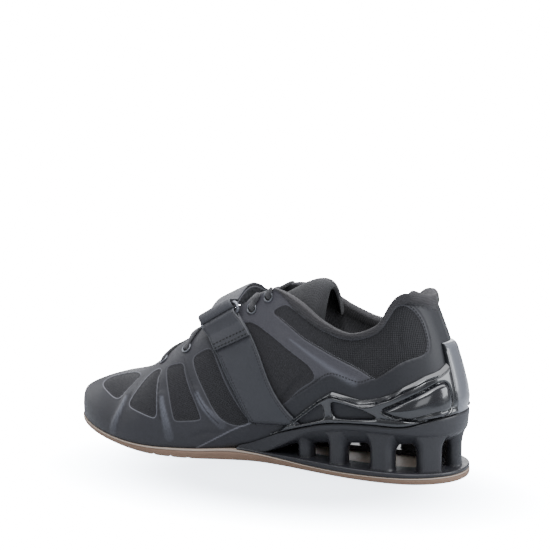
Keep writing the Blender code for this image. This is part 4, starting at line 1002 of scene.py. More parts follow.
cageLook = {"rows": 64, "end": 7.45, "body": 2.6, "edge": 2.2, "rim": 0.5, "rimHeight": 2.4,
            "channel": 0.9, "bar": 0.7, "moat": 1.5, "bulge": 2.8, "spine": 4.2,
            "colour": (0.0065, 0.0072, 0.0095)}
cageTop = np.array(((0.00, 90.0), (0.80, 90.0), (0.90, 77.4), (1.40, 73.8), (2.20, 70.65), (3.00, 64.4),
                    (3.50, 58.95), (4.00, 55.2), (4.50, 53.5), (5.00, 55.6), (5.40, 57.1), (5.75, 52.0),
                    (6.00, 46.9), (6.30, 41.2), (6.60, 35.3), (6.90, 28.6), (7.20, 23.0), (7.50, 17.5)))
# corners in mm as (X, height)
cageWindows = (((76.0, 29.2), (51.3, 48.7), (49.6, 37.4)), ((45.0, 50.6), (42.8, 39.0), (9.5, 42.3),
               (20.5, 47.2)))
# corners as (place, height)
cagePanel = ((3.84, 47.8), (3.60, 50.2), (3.0, 55.8), (2.5, 60.0), (2.0, 63.8), (1.50, 66.6), (1.18, 65.4),
             (1.08, 60.0), (1.08, 52.0), (1.25, 46.6), (1.7, 43.6), (2.3, 42.3), (2.9, 42.4), (3.45, 44.4))
cageMaterial, tree, shader = newMaterial("glossCage")
place = millimetres(tree)
grainOut = useGroup(tree, grainGroup, Vector=place, Size=5.0)
scuffOut = useGroup(tree, scuffGroup, Vector=place)
satin = fromAttribute(tree, "spineMask")
colour = mixColour(tree, satin, cageLook["colour"], (0.090, 0.094, 0.108))
colour = mixColour(tree, calc(tree, "MULTIPLY", scuffOut["Mask"], 0.05), colour, (0.3, 0.3, 0.32))
rough = mixValue(tree, satin, calc(tree, "MULTIPLY_ADD", grainOut["Tone"], 0.16, 0.12), 0.34)
finishShader(tree, shader, colour, rough, calc(tree, "MULTIPLY", grainOut["Height"], 0.35), depth=0.10,
             Coat_Weight=0.6, Coat_Roughness=0.05, Specular_IOR_Level=0.6)

cageHalf = np.concatenate([np.linspace(0, 0.72, 20), np.linspace(0.735, 0.95, 18),
                           np.linspace(0.97, cageLook["end"], 190)])
cagePlaces = np.concatenate([-cageHalf[:0:-1], cageHalf])
away = np.abs(cagePlaces)
top = np.interp(away, cageTop[:, 0], cageTop[:, 1])
kernel = bell(np.linspace(-1.6, 1.6, 9))
smoothTop = np.convolve(np.pad(top, 4, mode="edge"), kernel / kernel.sum(), "valid")
top = np.where((away > 1.15) & (away < 7.3), smoothTop, top)
x, _, _, _ = soleEdge(cagePlaces)
bottom = frameHeight("rim", x) / mm + 0.3
tall = np.maximum(top - bottom, 1.5)
v = np.linspace(0, 1, cageLook["rows"])
v = v - 0.045 * np.sin(2 * np.pi * v)  # closer rows near both edges
above = v[None] * tall[:, None]
below = tall[:, None] - above
heights = (bottom[:, None] + above) * mm
inside = offsetAtHeight(cagePlaces, heights, np.full(heights.shape, 1.1 * mm))

# features are drawn on the flattened shell: length round the heel and height, both in mm
lengthTable = np.linspace(0, 9, 400)
edgeX, edgeY, _, _ = soleEdge(lengthTable)
roundLength = np.concatenate([[0], np.cumsum(np.hypot(np.diff(edgeX), np.diff(edgeY)))]) / mm
flatLength = np.interp(away, lengthTable, roundLength)


def flatDistance(polygon):
    # signed distance in mm from each point of the shell to an outline, negative inside
    corners = np.concatenate([polygon, polygon[:1]])
    dense = np.concatenate([np.linspace(a, b, 30, endpoint=False)
                            for a, b in zip(corners[:-1], corners[1:])])
    u, w = np.broadcast_to(flatLength[:, None], heights.shape), heights / mm
    distance = np.sqrt(np.min((u[..., None] - dense[:, 0]) ** 2 + (w[..., None] - dense[:, 1]) ** 2, -1))
    return np.where(insideOf(u, w, polygon), -distance, distance)


windowAway = np.full(heights.shape, farAway)
for corners in cageWindows:
    outline = roundCorners(corners, 2, keep=0.13)
    outline[:, 0] = np.interp(outline[:, 0] * mm, edgeX[100:], roundLength[100:])
    windowAway = np.minimum(windowAway, flatDistance(outline))
outline = roundCorners(cagePanel, 2)
outline[:, 0] = np.interp(outline[:, 0], lengthTable, roundLength)
panelAway = flatDistance(outline)
spineMask = 1 - softStep((away - 0.76) / 0.05)
edgeRound = np.sqrt(1 - (1 - np.clip(windowAway / cageLook["edge"], 0, 1)) ** 2)
thick = cageLook["body"] * (0.25 + 0.75 * edgeRound)
lineFade = softStep((below + above - 5) / 5)
rimShare = below / cageLook["rimHeight"]
rimProfile = np.sqrt(np.clip(rimShare * (2 - rimShare), 0, 1)) * (below < cageLook["rimHeight"])
thick += cageLook["rim"] * rimProfile * lineFade
thick -= cageLook["channel"] * bell((below - 3.0) / 0.55) * lineFade * (1 - spineMask[:, None])
thick += (cageLook["bar"] * bell((above - 2.2) / 1.5)
          - 0.7 * bell((above - 5.0) / 0.6) * softStep((windowAway - 1) / 2))
thick -= cageLook["moat"] * bell((panelAway + 0.2) / 0.85)
thick += cageLook["bulge"] * np.sqrt(1 - (1 - np.clip((-panelAway - 0.6) / 8.0, 0, 1)) ** 2)
# the upper edge is bevelled, widest where the band sags between the windows and the panel
bevel = (2.3 + 3.0 * bell((away - 4.3) / 0.5))[:, None]
thick += 0.8 * bell((away - 4.3) / 0.5)[:, None] * softStep(below / 4)
thick *= 0.20 + 0.80 * np.clip(below / bevel, 0, 1) ** 0.85
thick *= np.clip(0.5 + 0.5 * above / 0.8, 0, 1)
spineHeight = cageLook["spine"] * np.sqrt(1 - 0.55 * np.clip(away / 0.78, 0, 1) ** 2.4)[:, None]
spineHeight = spineHeight * (1 - 0.75 * (1 - np.clip(below / 3.5, 0, 1)) ** 2)
spineHeight *= 0.45 + 0.55 * softStep(above / 9)
thick = thick * (1 - spineMask[:, None]) + spineHeight * spineMask[:, None]
thick *= np.clip((cageLook["end"] - away) / 0.12, 0.25, 1)[:, None]
outside = offsetAtHeight(cagePlaces, heights, (1.1 + thick) * mm)
cage = shell("heelCage", outside, inside, cageMaterial, stands=("heel_cage",), slotName="heel_cage",
             values={"spineMask": np.repeat(1 - softStep((away - 0.70) / 0.05), len(v))}, sharp=48)
cutters = []
for number, corners in enumerate(cageWindows, 1):
    outline = roundCorners(corners, 2, keep=0.13) * mm
    for hand in (-1, 1):
        n = len(outline)
        sides = np.concatenate([np.stack([outline[:, 0], np.full(n, hand * depth), outline[:, 1]], -1)
                                for depth in (0.010, 0.060)])
        faces = [list(range(n)), list(range(n, 2 * n))]
        faces += [[k, (k + 1) % n, (k + 1) % n + n, k + n] for k in range(n)]
        cutters.append(makePiece(f"cageOpening{number}{hand}", sides, faces, cageMaterial))
cutWith(cage, cutters)
print("heel cage built", len(cage.data.polygons), "faces")

# tongue

tongueLook = {"rows": 120, "across": 61, "thickness": 5.5, "colour": (0.0095, 0.0095, 0.0110)}
tongueRows = np.array(((0.780, 0.458, 0.125, 0.030), (0.717, 0.558, 0.200, 0.065),
                       (0.628, 0.690, 0.215, 0.115), (0.538, 0.804, 0.205, 0.135),
                       (0.476, 0.882, 0.175, 0.125), (0.428, 0.940, 0.150, 0.105),
                       (0.383, 0.990, 0.235, 0.175), (0.352, 0.998, 0.270, 0.215),
                       (0.330, 0.965, 0.280, 0.225)))
tongueMaterial, tree, shader = newMaterial("tongueCloth")
place = fromAttribute(tree, "clothPlace", "Vector")
cellOut = useGroup(tree, cellGroup, Vector=place, Pitch=1.3)
grainOut = useGroup(tree, grainGroup, Vector=place, Size=0.7)
colour = mixColour(tree, cellOut["Hole"], tongueLook["colour"], shade(tongueLook["colour"], 0.45))
colour = mixColour(tree, calc(tree, "MULTIPLY", grainOut["Tone"], 0.5), colour,
                   shade(tongueLook["colour"], 1.4))
finishShader(tree, shader, colour, 0.86, mixValue(tree, 0.3, cellOut["Height"], grainOut["Height"]),
             depth=0.25,
             Sheen_Weight=0.04, Sheen_Roughness=0.5)
index = np.arange(len(tongueRows))
t = np.linspace(0, len(tongueRows) - 1, tongueLook["rows"])
tx, tz, half, drop = (smoothCurve(index, tongueRows[:, c], t) for c in range(4))
tx, tz = tx * last["length"] - last["heelBack"], tz * last["height"]
half, drop = half * last["ballWidth"], drop * last["ballWidth"]
endShare = np.clip((len(tongueRows) - 1 - t) / 0.9, 0, 1)
half = half * (0.55 + 0.45 * np.sqrt(1 - (1 - endShare) ** 2))
u = np.linspace(-1, 1, tongueLook["across"])
dx, dz = np.gradient(tx), np.gradient(tz)
size = np.hypot(dx, dz)
down = np.stack([dz / size, np.zeros(len(t)), -dx / size], 1)
down[down[:, 2] > 0] *= -1
thickness = tongueLook["thickness"] * mm * (0.55 + 0.45 * softStep(t * 14 / (len(tongueRows) - 1) / 6))
topFace = np.empty((len(t), len(u), 3))
topFace[..., 0], topFace[..., 1] = tx[:, None], half[:, None] * u
topFace[..., 2] = tz[:, None] - drop[:, None] * np.abs(u) ** 2.2
rounding = (1 - np.abs(u) ** 6)[None] * (1 - (1 - endShare) ** 4)[:, None]
puff = 0.7 * mm * rounding * (0.4 + 0.6 * np.abs(np.sin(np.pi * 1.5 * u)))[None]
puff *= softStep((t - 4.6) / 1.2)[:, None]
outerFace = topFace - down[:, None] * (puff - (1 - rounding) * 0.9 * mm)[..., None]
taper = (1 - 0.55 * np.abs(u) ** 3)[None] * (0.55 + 0.45 * rounding)
innerFace = topFace + down[:, None] * (thickness[:, None] * taper)[..., None]
run = np.concatenate([[0], np.cumsum(np.hypot(np.diff(tx), np.diff(tz)))]) / mm
clothOn = np.stack(np.broadcast_arrays(topFace[..., 1] / mm, run[:, None], 0.0), -1).reshape(-1, 3)
tongue = shell("tonguePad", outerFace, innerFace, tongueMaterial, stands=("tongue",), slotName="tongue",
               values={"clothPlace": clothOn}, sharp=60)

# strap, ring

strapLook = {"thickness": 1.8, "across": 31, "baseColour": (0.0290, 0.0300, 0.0355),
             "pullColour": (0.042, 0.043, 0.050),
             "wire": 1.4, "lowLevel": 0.17, "liftLevel": 0.50, "topLevel": 0.97, "return": 0.16,
             "crown": 7.5,
             "wrap": (-2.5, -5.6), "ringSpan": 7.4, "ringShort": 1.8, "ringShift": 1.0, "ringCorner": 3,
             "baseFold": 1.1, "pullFold": 1.35}
strapStart, strapSlope, strapTop = np.array((7.67, 6.14)), np.array((2.62, 3.16)), np.array((0.82, 0.89))
gap, step, thick = last["gap"], 0.8 * mm, strapLook["thickness"] * mm
wire = strapLook["wire"] * mm
eyelets = ((11.18, 0.770), (10.40, 0.755), (8.60, 0.895), (8.18, 0.95))
laceWidth, eyeletWire = 4.2 * mm, 0.7 * mm
laceHeight = step + 6 * gap + 2 * eyeletWire + laceWidth / 2
topPlaces = strapStart + strapSlope * strapTop
barEnds = upperOffset(topPlaces, strapTop, np.full(2, step + gap + thick + gap + wire))
ringAlong = unit(barEnds[1] - barEnds[0])
halfStrap = np.linalg.norm(barEnds[1] - barEnds[0]) / 2
lowBar = barEnds.mean(0)
barNormal = upperNormal(topPlaces.mean(), strapTop.mean())
ringOver = np.cross(ringAlong, barNormal)
ringOver = unit(ringOver if ringOver[1] < 0 else -ringOver)
ringUp = unit(ringOver * 0.75 + barNormal * 0.25)
ringOut = unit(barNormal - ringUp * np.dot(barNormal, ringUp) - ringAlong * np.dot(barNormal, ringAlong))
highBar = lowBar + ringUp * strapLook["ringSpan"] * mm


def foldPoints(centre, start, end, radius, count=24):
    # arc about a bar of the ring
    turn = np.linspace(start, end, count)[:, None]
    return centre + radius * (np.cos(turn) * ringUp + np.sin(turn) * ringOut)


def strapLines(topLevels, count, across):
    for share in across:
        start, slope, top = (row[0] * (1 - share) + row[1] * share
                             for row in (strapStart, strapSlope, strapTop))
        end = topLevels[0] * (1 - share) + topLevels[1] * share
        levels = np.linspace(strapLook["lowLevel"], end, count)
        yield share, start + slope * levels * min(top / max(end, strapTop.min()), 1.0), levels


def ribbon(name, paths, edgeRise, material, **rest):
    # paths side by side become a strap with round edges and a raised binding
    paths = np.array(paths)
    along, across = np.gradient(paths, axis=1), np.gradient(paths, axis=0)
    normal = unit(np.cross(along, across))
    share = np.linspace(-1, 1, len(paths))[:, None, None]
    full = thick / 2 * (1 - np.abs(share) ** 14) ** 0.5
    full *= 1 + edgeRise * softStep((np.abs(share) - 0.84) / 0.05)
    full = np.maximum(full, 0.12 * mm)
    length = lengthAlong(paths[len(paths) // 2]) / mm
    side = np.broadcast_to(share[:, :, 0] * halfStrap / mm, paths.shape[:2])
    cloth = np.stack([side, np.broadcast_to(length, paths.shape[:2]), np.zeros(paths.shape[:2])],
                     -1).reshape(-1, 3)
    shell(name, paths + normal * full, paths - normal * full, material, values={"clothPlace": cloth}, **rest)
    return paths, normal


strapMaterial, tree, shader = newMaterial("strapSmooth")
place = fromAttribute(tree, "clothPlace", "Vector")
split = addNode(tree, "ShaderNodeSeparateXYZ", None, _0=place)
grainOut = useGroup(tree, grainGroup, Vector=place, Size=0.45)
colour = mixColour(tree, grainOut["Tone"], shade(strapLook["baseColour"], 0.9),
                   shade(strapLook["baseColour"], 1.12))
side = calc(tree, "ABSOLUTE", split.outputs[0])
# painted shade in the fold near each edge of the strap; the same mask dents the surface
line = ease(tree, calc(tree, "ABSOLUTE", calc(tree, "SUBTRACT", side, 12.3)), 0.12, 0.45, 1.0, 0.0)
colour = mixColour(tree, calc(tree, "MULTIPLY", line, 0.8), colour, (0.012, 0.013, 0.016))
# painted highlight along the strap's outer edges
colour = mixColour(tree, ease(tree, side, 13.9, 14.6, 0.0, 0.25), colour, (0.06, 0.062, 0.07))
height = calc(tree, "SUBTRACT", calc(tree, "MULTIPLY", grainOut["Height"], 0.25), line)
finishShader(tree, shader, colour, calc(tree, "MULTIPLY_ADD", grainOut["Tone"], 0.12, 0.44), height,
             depth=0.22,
             Specular_IOR_Level=0.45)

webMaterial, tree, shader = newMaterial("strapWebbing")
place = fromAttribute(tree, "clothPlace", "Vector")
split = addNode(tree, "ShaderNodeSeparateXYZ", None, _0=place)
weave = useGroup(tree, ribGroup, Across=split.outputs[0], Along=split.outputs[1], Pitch=1.1)["Height"]
grainOut = useGroup(tree, grainGroup, Vector=place, Size=0.5)
colour = mixColour(tree, weave, shade(strapLook["pullColour"], 0.6), strapLook["pullColour"])
colour = mixColour(tree, calc(tree, "MULTIPLY", grainOut["Tone"], 0.4), colour,
                   shade(strapLook["pullColour"], 1.5))
finishShader(tree, shader, colour, 0.62, mixValue(tree, 0.35, weave, grainOut["Height"]), depth=0.2,
             Sheen_Weight=0.15)

acrossShares = np.linspace(0, 1, strapLook["across"])
paths = []
clear = step + 1.5 * gap + thick / 2
radius = wire + gap + thick / 2
for share, places, levels in strapLines(strapTop - 0.02, 40, acrossShares):
    low = 0.13 - 0.10 * share
    levels = np.concatenate([np.linspace(low, levels[1], 12)[:-1], levels[1:]])
    places = places[-1] + (places[-1] - places[-2]) * (levels - levels[-1]) / (levels[-1] - levels[-2])
    sink = (clear + 1.6 * mm) * (1 - softStep((levels - low) / 0.06))
    points = upperOffset(places, levels, clear - sink)
    centre = lowBar + ringAlong * halfStrap * (2 * share - 1)
    back = 18 * mm / np.linalg.norm(points[-1] - points[0]) * (levels[-1] - levels[0])
    downLevels = levels[-1] - back * np.linspace(0.3, 1.0, 9)
    doubled = upperOffset(np.interp(downLevels, levels, places), downLevels,
                          np.full(9, clear + thick + 1.5 * gap))
    turned = foldPoints(centre, -math.pi / 2, math.pi / 2 + 0.1, radius * strapLook["baseFold"])
    paths.append(np.concatenate([points[:-2], turned, doubled]))
basePaths, baseNormals = ribbon("strapBase", paths, 0.10, strapMaterial, stands=("strap_base",),
                                slotName="strap_base", sharp=60)
paths = []
laceClear = laceHeight + laceWidth / 2 + 2 * gap + thick / 2
clear = step + gap + thick / 2
for share, places, levels in strapLines(np.full(2, strapLook["topLevel"]), 40, acrossShares):
    liftBy = clear + (laceClear - clear) * softStep((levels - strapLook["liftLevel"]) / 0.25)
    points = upperOffset(wholeLoop - places, levels, liftBy)
    centre = highBar + ringAlong * halfStrap * (2 * share - 1)
    turned = foldPoints(centre, *strapLook["wrap"], radius * strapLook["pullFold"])
    start, end = points[-1], turned[0]
    f = np.linspace(0.08, 0.92, 14)[:, None]
    bridge = start + (end - start) * f + np.array((0, 0, strapLook["crown"] * mm)) * np.sin(math.pi * f)
    lifted = np.array((0, 0, thick + 2 * gap))
    endLevels = levels[-1] - strapLook["return"] * np.linspace(0, 1, 8)
    endLift = np.interp(endLevels, levels, liftBy) + thick + 2 * gap
    tail = upperOffset(wholeLoop - np.interp(endLevels, levels, places), endLevels, endLift)
    paths.append(np.concatenate([points, bridge, turned, bridge[::-1] + lifted, tail]))
ribbon("strapPull", paths, 0.06, webMaterial, stands=("strap_pull",), slotName="strap_pull", sharp=60)

metalMaterial, tree, shader = newMaterial("ringMetal")
place = millimetres(tree)
grainOut = useGroup(tree, grainGroup, Vector=place, Size=0.5)
scuffOut = useGroup(tree, scuffGroup, Vector=place)
colour = mixColour(tree, grainOut["Tone"], (0.11, 0.115, 0.13), (0.19, 0.195, 0.21))
colour = mixColour(tree, calc(tree, "MULTIPLY", scuffOut["Mask"], 0.5), colour, (0.16, 0.16, 0.17))
finishShader(tree, shader, colour, calc(tree, "MULTIPLY_ADD", grainOut["Height"], 0.25, 0.22),
             grainOut["Height"],
             depth=0.03, Metallic=0.9)
corner = strapLook["ringCorner"] * mm
halfLong, halfHigh = halfStrap - strapLook["ringShort"] * mm, strapLook["ringSpan"] / 2 * mm - corner
turn = np.linspace(0, 2 * math.pi, 96, endpoint=False)
quarter = np.floor(turn / (math.pi / 2) + 1e-9).astype(int)
su, sv = np.array((1, -1, -1, 1))[quarter], np.array((1, 1, -1, -1))[quarter]
ringLoop = ((lowBar + highBar) / 2
            + (strapLook["ringShift"] * mm + su * halfLong + corner * np.cos(turn))[:, None] * ringAlong
            + (sv * halfHigh + corner * np.sin(turn))[:, None] * ringUp)


def wireLoop(name, loop, facing, radius, material, stands, slotName, sides=16):
    # round wire along a closed loop, its rings set on the loop's own facing direction
    ahead = unit(np.roll(loop, -1, 0) - np.roll(loop, 1, 0))
    across = unit(np.cross(ahead, facing))
    turn = np.linspace(0, 2 * math.pi, sides, endpoint=False)
    rings = loop[:, None] + radius * (np.cos(turn)[None, :, None] * across[:, None]
                                      + np.sin(turn)[None, :, None] * facing)
    n = len(loop)
    faces = gridFaces(n, sides, wrap=True)
    faces += [[(n - 1) * sides + c, (n - 1) * sides + (c + 1) % sides, (c + 1) % sides, c]
              for c in range(sides)]
    return makePiece(name, rings, faces, material, stands, slotName)


wireLoop("strapRing", ringLoop, ringOut, wire, metalMaterial, ("strap_ring",), "strap_ring")
print("strap and ring built")

# eyelets and laces

laceLook = {"steps": 90, "sides": 16, "holeSides": 48, "halfWidth": 2.2, "halfHeight": 1.05,
            "colour": (0.034, 0.033, 0.036), "eyeletRadius": 3.3}
# near-black discs inside the eyelets stand in for the shade in the holes
holeShadeMaterial, tree, shader = newMaterial("eyeletHoleShade")
finishShader(tree, shader, mixColour(tree, noise(tree, millimetres(tree), 1.0), (0.004, 0.004, 0.004),
                                     (0.010, 0.010, 0.011)),
             0.9)
for hand, side in ((1, "medial"), (-1, "lateral")):
    for number, (place, level) in enumerate(eyelets, 1):
        place = place if hand > 0 else wholeLoop - place
        normal = upperNormal(place, level)
        middle = upperPoint(place, level) + normal * 1.0 * mm
        u = unit(np.cross(normal, (0, 0, 1)))
        w = np.cross(normal, u)
        turn = np.linspace(0, 2 * math.pi, laceLook["holeSides"], endpoint=False)[:, None]
        circle = middle + laceLook["eyeletRadius"] * mm * (np.cos(turn) * u + np.sin(turn) * w)
        wireLoop(f"eyelet{side.title()}{number}", circle, normal, 0.62 * mm, metalMaterial,
                 (f"eyelet_{side}_{number}",), f"eyelet_{side}_{number}", 12)
        # disc of painted shade filling the eyelet
        disc = middle - normal * 0.35 * mm + (circle - middle) * 0.97
        makePiece(f"eyeletHoleShade{side.title()}{number}", np.concatenate([disc, disc - normal * 0.3 * mm]),
                  ropeFaces(2, laceLook["holeSides"]), holeShadeMaterial, slotName=f"eyelet_{side}_{number}")

laceMaterial, tree, shader = newMaterial("lacesBraid")
place = fromAttribute(tree, "clothPlace", "Vector")
split = addNode(tree, "ShaderNodeSeparateXYZ", None, _0=place)
plus = calc(tree, "ADD", split.outputs[0], split.outputs[1])
minus = calc(tree, "SUBTRACT", split.outputs[0], split.outputs[1])
braid = useGroup(tree, ribGroup, Across=plus, Along=minus, Pitch=1.0)["Height"]
braidTwo = useGroup(tree, ribGroup, Across=minus, Along=plus, Pitch=1.0)["Height"]
weave = calc(tree, "MAXIMUM", braid, braidTwo)
colour = mixColour(tree, weave, shade(laceLook["colour"], 0.45), shade(laceLook["colour"], 1.25))
finishShader(tree, shader, colour, 0.85, weave, depth=0.3, Sheen_Weight=0.2)


def laceRun(first, second, hand, overlap):
    # up through one eyelet, over both throat edges and down through the other, with a hump at the crossing
    points, normals = [], []
    for number, side, order in ((first, hand, 1), (second, -hand, -1)):
        place, level = eyelets[number]
        place = place if side > 0 else wholeLoop - place
        steps = ((level - 0.012, -1.8), (level - 0.004, 0.6), (level + 0.012, 1.7),
                 (level + (1 - level) * 0.45, 1.6),
                 (1.0, 1.5))
        part = np.array([upperOffset(place, lv, d * mm) for lv, d in steps])
        facing = np.array([upperNormal(place, min(lv, 0.98)) for lv, _ in steps])
        points.append(part[::order])
        normals.append(facing[::order])
    middle = (points[0][-1] + points[1][0]) / 2
    onTongue = np.interp(-middle[0], -tx, tz) + 1.3 * mm
    middle[2] = max(middle[2] - 1.8 * mm, onTongue) + overlap * mm
    points = np.concatenate([points[0], [middle], points[1]])
    normals = np.concatenate([normals[0], [unit(normals[0][-1] + normals[1][0])], normals[1]])
    return fineCurve(points, laceLook["steps"]), unit(fineCurve(normals, laceLook["steps"]))


runs = [laceRun(0, 0, 1, 0.0)]
for number in range(len(eyelets) - 1):
    for hand in (1, -1):
        runs.append(laceRun(number, number + 1, hand, 0.9 * hand))
points, faces, cloth = [], [], []
steps, sides = laceLook["steps"], laceLook["sides"]
for path, facing in runs:
    rings = sweep(path, facing, laceLook["halfWidth"] * mm, laceLook["halfHeight"] * mm, sides, 0.8)
    faces += ropeFaces(steps, sides, len(points) * steps * sides)
    points.append(rings.reshape(-1, 3))
    length = lengthAlong(path) / mm
    cloth.append(np.stack(np.broadcast_arrays(length[:, None], np.arange(sides)[None] * 0.75, 0.0),
                          -1).reshape(-1, 3))
makePiece("laceRuns", np.concatenate(points), faces, laceMaterial, ("laces",), "laces",
          {"clothPlace": np.concatenate(cloth)}, sharp=70)
print("eyelets and laces built")

# stitches

stitchLook = {"dark": (0.004, 0.004, 0.005), "light": (0.20, 0.20, 0.22), "sides": 6}
# each thread's rings: share of the length, and share of the radius
threadAlong = np.array((-0.5, -0.38, 0.0, 0.38, 0.5))
threadSwell = np.array((0.25, 0.85, 1.0, 0.85, 0.25))


def threadMaterial(name, tone):
    made, tree, shader = newMaterial(name)
    grainOut = useGroup(tree, grainGroup, Vector=millimetres(tree), Size=0.3)
    finishShader(tree, shader, mixColour(tree, grainOut["Height"], shade(tone, 0.6), tone), 0.7,
                 grainOut["Height"], depth=0.08)
    return made


darkThread = threadMaterial("darkThread", stitchLook["dark"])
lightThread = threadMaterial("lightThread", stitchLook["light"])


def stitchRow(line, normals, pitch, length, radius):
    # short round-ended threads along a line, all as one array of points
    run = lengthAlong(line)
    at = np.arange(pitch / 2, run[-1] - pitch / 2, pitch)
    centre = np.stack([np.interp(at, run, line[:, a]) for a in range(3)], -1)
    ahead = unit(np.stack([np.interp(at + length / 2, run, line[:, a])
                           - np.interp(at - length / 2, run, line[:, a])
                           for a in range(3)], -1))
    facing = unit(np.stack([np.interp(at, run, normals[:, a]) for a in range(3)], -1))
    side = np.cross(ahead, facing)
    turn = np.linspace(0, 2 * math.pi, stitchLook["sides"], endpoint=False)[None, None, :, None]
    around = np.cos(turn) * side[:, None, None] + np.sin(turn) * facing[:, None, None]
    ring = (centre[:, None, None] + ahead[:, None, None] * (threadAlong * length)[None, :, None, None]
            + radius * threadSwell[None, :, None, None] * around)
    return ring.reshape(-1, 3), len(at)


def stitchPiece(name, rowsOf, material, slotName):
    points, count = [], 0
    for row in rowsOf:
        made, n = stitchRow(*row)
        points.append(made)
        count += n
    rings, sides = len(threadAlong), stitchLook["sides"]
    starts = (np.arange(count) * rings * sides)[:, None, None]
    faces = (np.array(gridFaces(rings, sides, wrap=True))[None] + starts).reshape(-1, 4).tolist()
    caps = np.array((range(sides), range((rings - 1) * sides, rings * sides)))
    faces += (caps[None] + starts).reshape(-1, sides).tolist()
    return makePiece(name, np.concatenate(points), faces, material, slotName=slotName)


def surfaceLine(corners, shift, out, hand=1, times=2):
    # a (place, level) line on the upper, moved sideways on the surface and outward
    corners = roundCorners(corners, times, False)
    dense = fineCurve(corners, 240)
    places = dense[:, 0] if hand > 0 else wholeLoop - dense[:, 0]
    normals = upperNormal(places, dense[:, 1])
    line = upperOffset(places, dense[:, 1], np.full(len(dense), out * mm))
    ahead = unit(np.gradient(line, axis=0))
    return line + np.cross(normals, ahead) * shift * hand * mm, normals


darkRows, lightRows = [], []
counterLine = counterPanel[:16]
bandTop = ((4.04, 0.495), (4.53, 0.618), (5.10, 0.710), (5.94, 0.753), (6.57, 0.770), (7.16, 0.807),
           (7.67, 0.825))
for hand in (1, -1):
    darkRows.append((*surfaceLine(counterLine, 1.7, 0.85, hand), 2.3 * mm, 1.6 * mm, 0.30 * mm))
    lightRows.append((*surfaceLine(bandTop, -0.9, 0.62, hand), 1.3 * mm, 0.6 * mm, 0.16 * mm))
for index in (3, len(basePaths) - 4):
    keep = slice(0, 38)
    outward = upperNormal(np.full(38, 8.9), np.full(38, 0.5))
    outward = baseNormals[index][keep] * np.sign(np.sum(baseNormals[index][keep] * outward, -1))[:, None]
    darkRows.append((basePaths[index][keep] + outward * 0.93 * mm, outward, 2.2 * mm, 1.5 * mm, 0.22 * mm))
tailPoints = basePaths[:, -9:]
tailNormals = baseNormals[:, -9:]
facing = np.sign(np.sum(tailNormals * upperNormal(8.9, 0.7), -1))[..., None]
tailFace = tailPoints + tailNormals * facing * 0.95 * mm
for back in (-2, -4):
    darkRows.append((tailFace[1:-1, back], (tailNormals * facing)[1:-1, back], 2.6 * mm, 1.7 * mm,
                     0.48 * mm))
stitchPiece("darkStitches", darkRows, darkThread, "upper")
stitchPiece("lightStitches", lightRows, lightThread, "upper")
print("stitches built")

# insole keeps its solid

insoleMaterial, tree, shader = newMaterial("insoleCloth")
place = millimetres(tree)
cellOut = useGroup(tree, cellGroup, Vector=place, Pitch=1.4)
grainOut = useGroup(tree, grainGroup, Vector=place, Size=0.8)
colour = mixColour(tree, cellOut["Hole"], (0.030, 0.030, 0.034), (0.012, 0.012, 0.014))
colour = mixColour(tree, calc(tree, "MULTIPLY", grainOut["Tone"], 0.3), colour, (0.05, 0.05, 0.055))
finishShader(tree, shader, colour, 0.9, cellOut["Height"], depth=0.25, Sheen_Weight=0.2)
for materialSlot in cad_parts["insole"].material_slots:
    materialSlot.material = insoleMaterial

# floor, light, camera

studio = {"sky": 0.40, "skySeen": 24.0, "floorSeen": 20.0, "floorShade": 3.4,
          "floorColour": (0.42, 0.44, 0.47)}
floorMaterial, tree, shader = newMaterial("studioFloor")
place = millimetres(tree)
tone = noise(tree, place, 0.004, 2.0)
finishShader(tree, shader, mixColour(tree, tone, studio["floorColour"], (0.43, 0.445, 0.47)), 0.75,
             Specular_IOR_Level=0.2)
# the camera sees the floor glow, with a painted shadow: weaker in a soft oval in front of the heel and the
# arch
spread = vectorCalc(tree, "MULTIPLY", vectorCalc(tree, "SUBTRACT", place, (70.0, 55.0, 0.0)),
                    (1 / 175, 1 / 105, 0.0))
shadowOval = addNode(tree, "ShaderNodeVectorMath", {"operation": "LENGTH"}, _0=spread).outputs["Value"]
glow = ease(tree, shadowOval, 0.35, 1.30, studio["floorShade"], studio["floorSeen"])
seen = addNode(tree, "ShaderNodeLightPath").outputs["Is Camera Ray"]
tree.links.new(calc(tree, "MULTIPLY", glow, seen), shader.inputs["Emission Strength"])
# painted blue tint of the shadow in the oval
tree.links.new(mixColour(tree, ease(tree, shadowOval, 0.6, 1.3), (0.84, 0.91, 1.0), (1.0, 1.0, 1.0)),
               shader.inputs["Emission Color"])
floorMesh = bpy.data.meshes.new("studioFloor")
floorMesh.from_pydata([(-6, -6, -1e-4), (6, -6, -1e-4), (6, 6, -1e-4), (-6, 6, -1e-4)], [], [(0, 1, 2, 3)])
floorMesh.materials.append(floorMaterial)
floor = bpy.data.objects.new("studioFloor", floorMesh)
bpy.context.scene.collection.objects.link(floor)

world = bpy.data.worlds.new("studio")
bpy.context.scene.world = world
world.use_nodes = True
tree, sky = world.node_tree, world.node_tree.nodes["Background"]
sky.inputs["Color"].default_value = (0.97, 0.985, 1.0, 1)
seen = addNode(tree, "ShaderNodeLightPath").outputs["Is Camera Ray"]
tree.links.new(mixValue(tree, seen, studio["sky"], studio["skySeen"]), sky.inputs["Strength"])


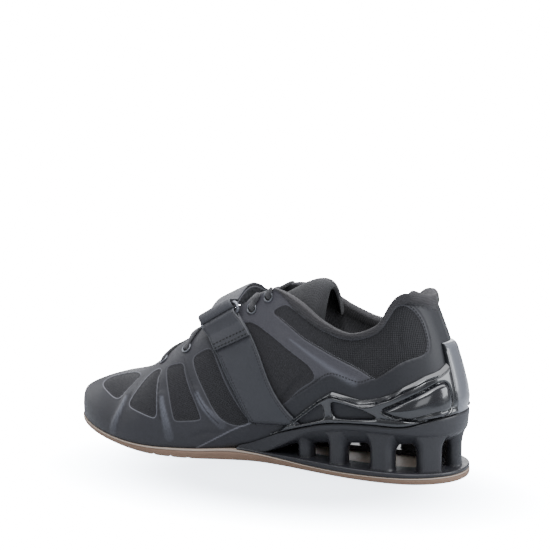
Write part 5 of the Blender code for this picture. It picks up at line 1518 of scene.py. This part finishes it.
def addLamp(name, spot, aim, size, power, colour=(1, 1, 1)):
    lamp = bpy.data.lights.new(name, "AREA")
    lamp.energy, lamp.size, lamp.color = power, size, colour
    holder = bpy.data.objects.new(name, lamp)
    bpy.context.scene.collection.objects.link(holder)
    holder.location = spot
    holder.rotation_euler = (Vector(aim) - Vector(spot)).to_track_quat("-Z", "Y").to_euler()


addLamp("topLamp", (0.05, -0.15, 0.95), (0.10, 0, 0.04), 1.2, 22.0, (0.95, 0.96, 1.0))
addLamp("backLamp", (0.45, -0.90, 0.62), (0.10, 0, 0.05), 0.9, 10.0, (0.95, 0.97, 1.0))
addLamp("heelLamp", (-0.95, -0.05, 0.40), (0.0, 0, 0.06), 0.6, 9.5, (0.93, 0.96, 1.0))
addLamp("panelLamp", (-0.75, 1.00, 0.45), (0.0, 0, 0.05), 0.5, 2.0, (0.95, 0.97, 1.0))
addLamp("bandLamp", (0.42, 0.70, 0.72), (0.07, 0.03, 0.05), 0.26, 1.8, (0.95, 0.97, 1.0))
addLamp("toeLamp", (1.15, -0.05, 0.45), (0.2, 0, 0.03), 0.7, 5.0, (0.95, 0.97, 1.0))
addLamp("keyLamp", (-0.25, 0.60, 1.05), (0.05, 0, 0.05), 0.40, 7.0, (0.93, 0.96, 1.0))

cameraLook = {"azimuth": 205.0, "elevation": 14.3, "distance": 1.0, "target": (0.1005, 0.0, 0.010),
              "focal": 1417.3, "aimX": -2.0, "aimY": 165.0, "aimScale": 1420, "sensor": 36, "picture": 550}
a, e = math.radians(cameraLook["azimuth"]), math.radians(cameraLook["elevation"])
back = Vector((math.sin(a) * math.cos(e), -math.cos(a) * math.cos(e), math.sin(e)))
right = Vector((math.cos(a), math.sin(a), 0))
up = back.cross(right)
forward = -back + right * (cameraLook["aimX"] / cameraLook["aimScale"])
forward += up * (cameraLook["aimY"] / cameraLook["aimScale"])
camera = bpy.data.objects.new("camera", bpy.data.cameras.new("camera"))
bpy.context.scene.collection.objects.link(camera)
camera.location = Vector(cameraLook["target"]) + back * cameraLook["distance"]
camera.rotation_euler = forward.to_track_quat("-Z", "Y").to_euler()
camera.data.sensor_width = cameraLook["sensor"]
camera.data.lens = cameraLook["focal"] * cameraLook["sensor"] / cameraLook["picture"]
camera.data.clip_start, camera.data.clip_end = 0.01, 50
bpy.context.scene.camera = camera
print("studio built")
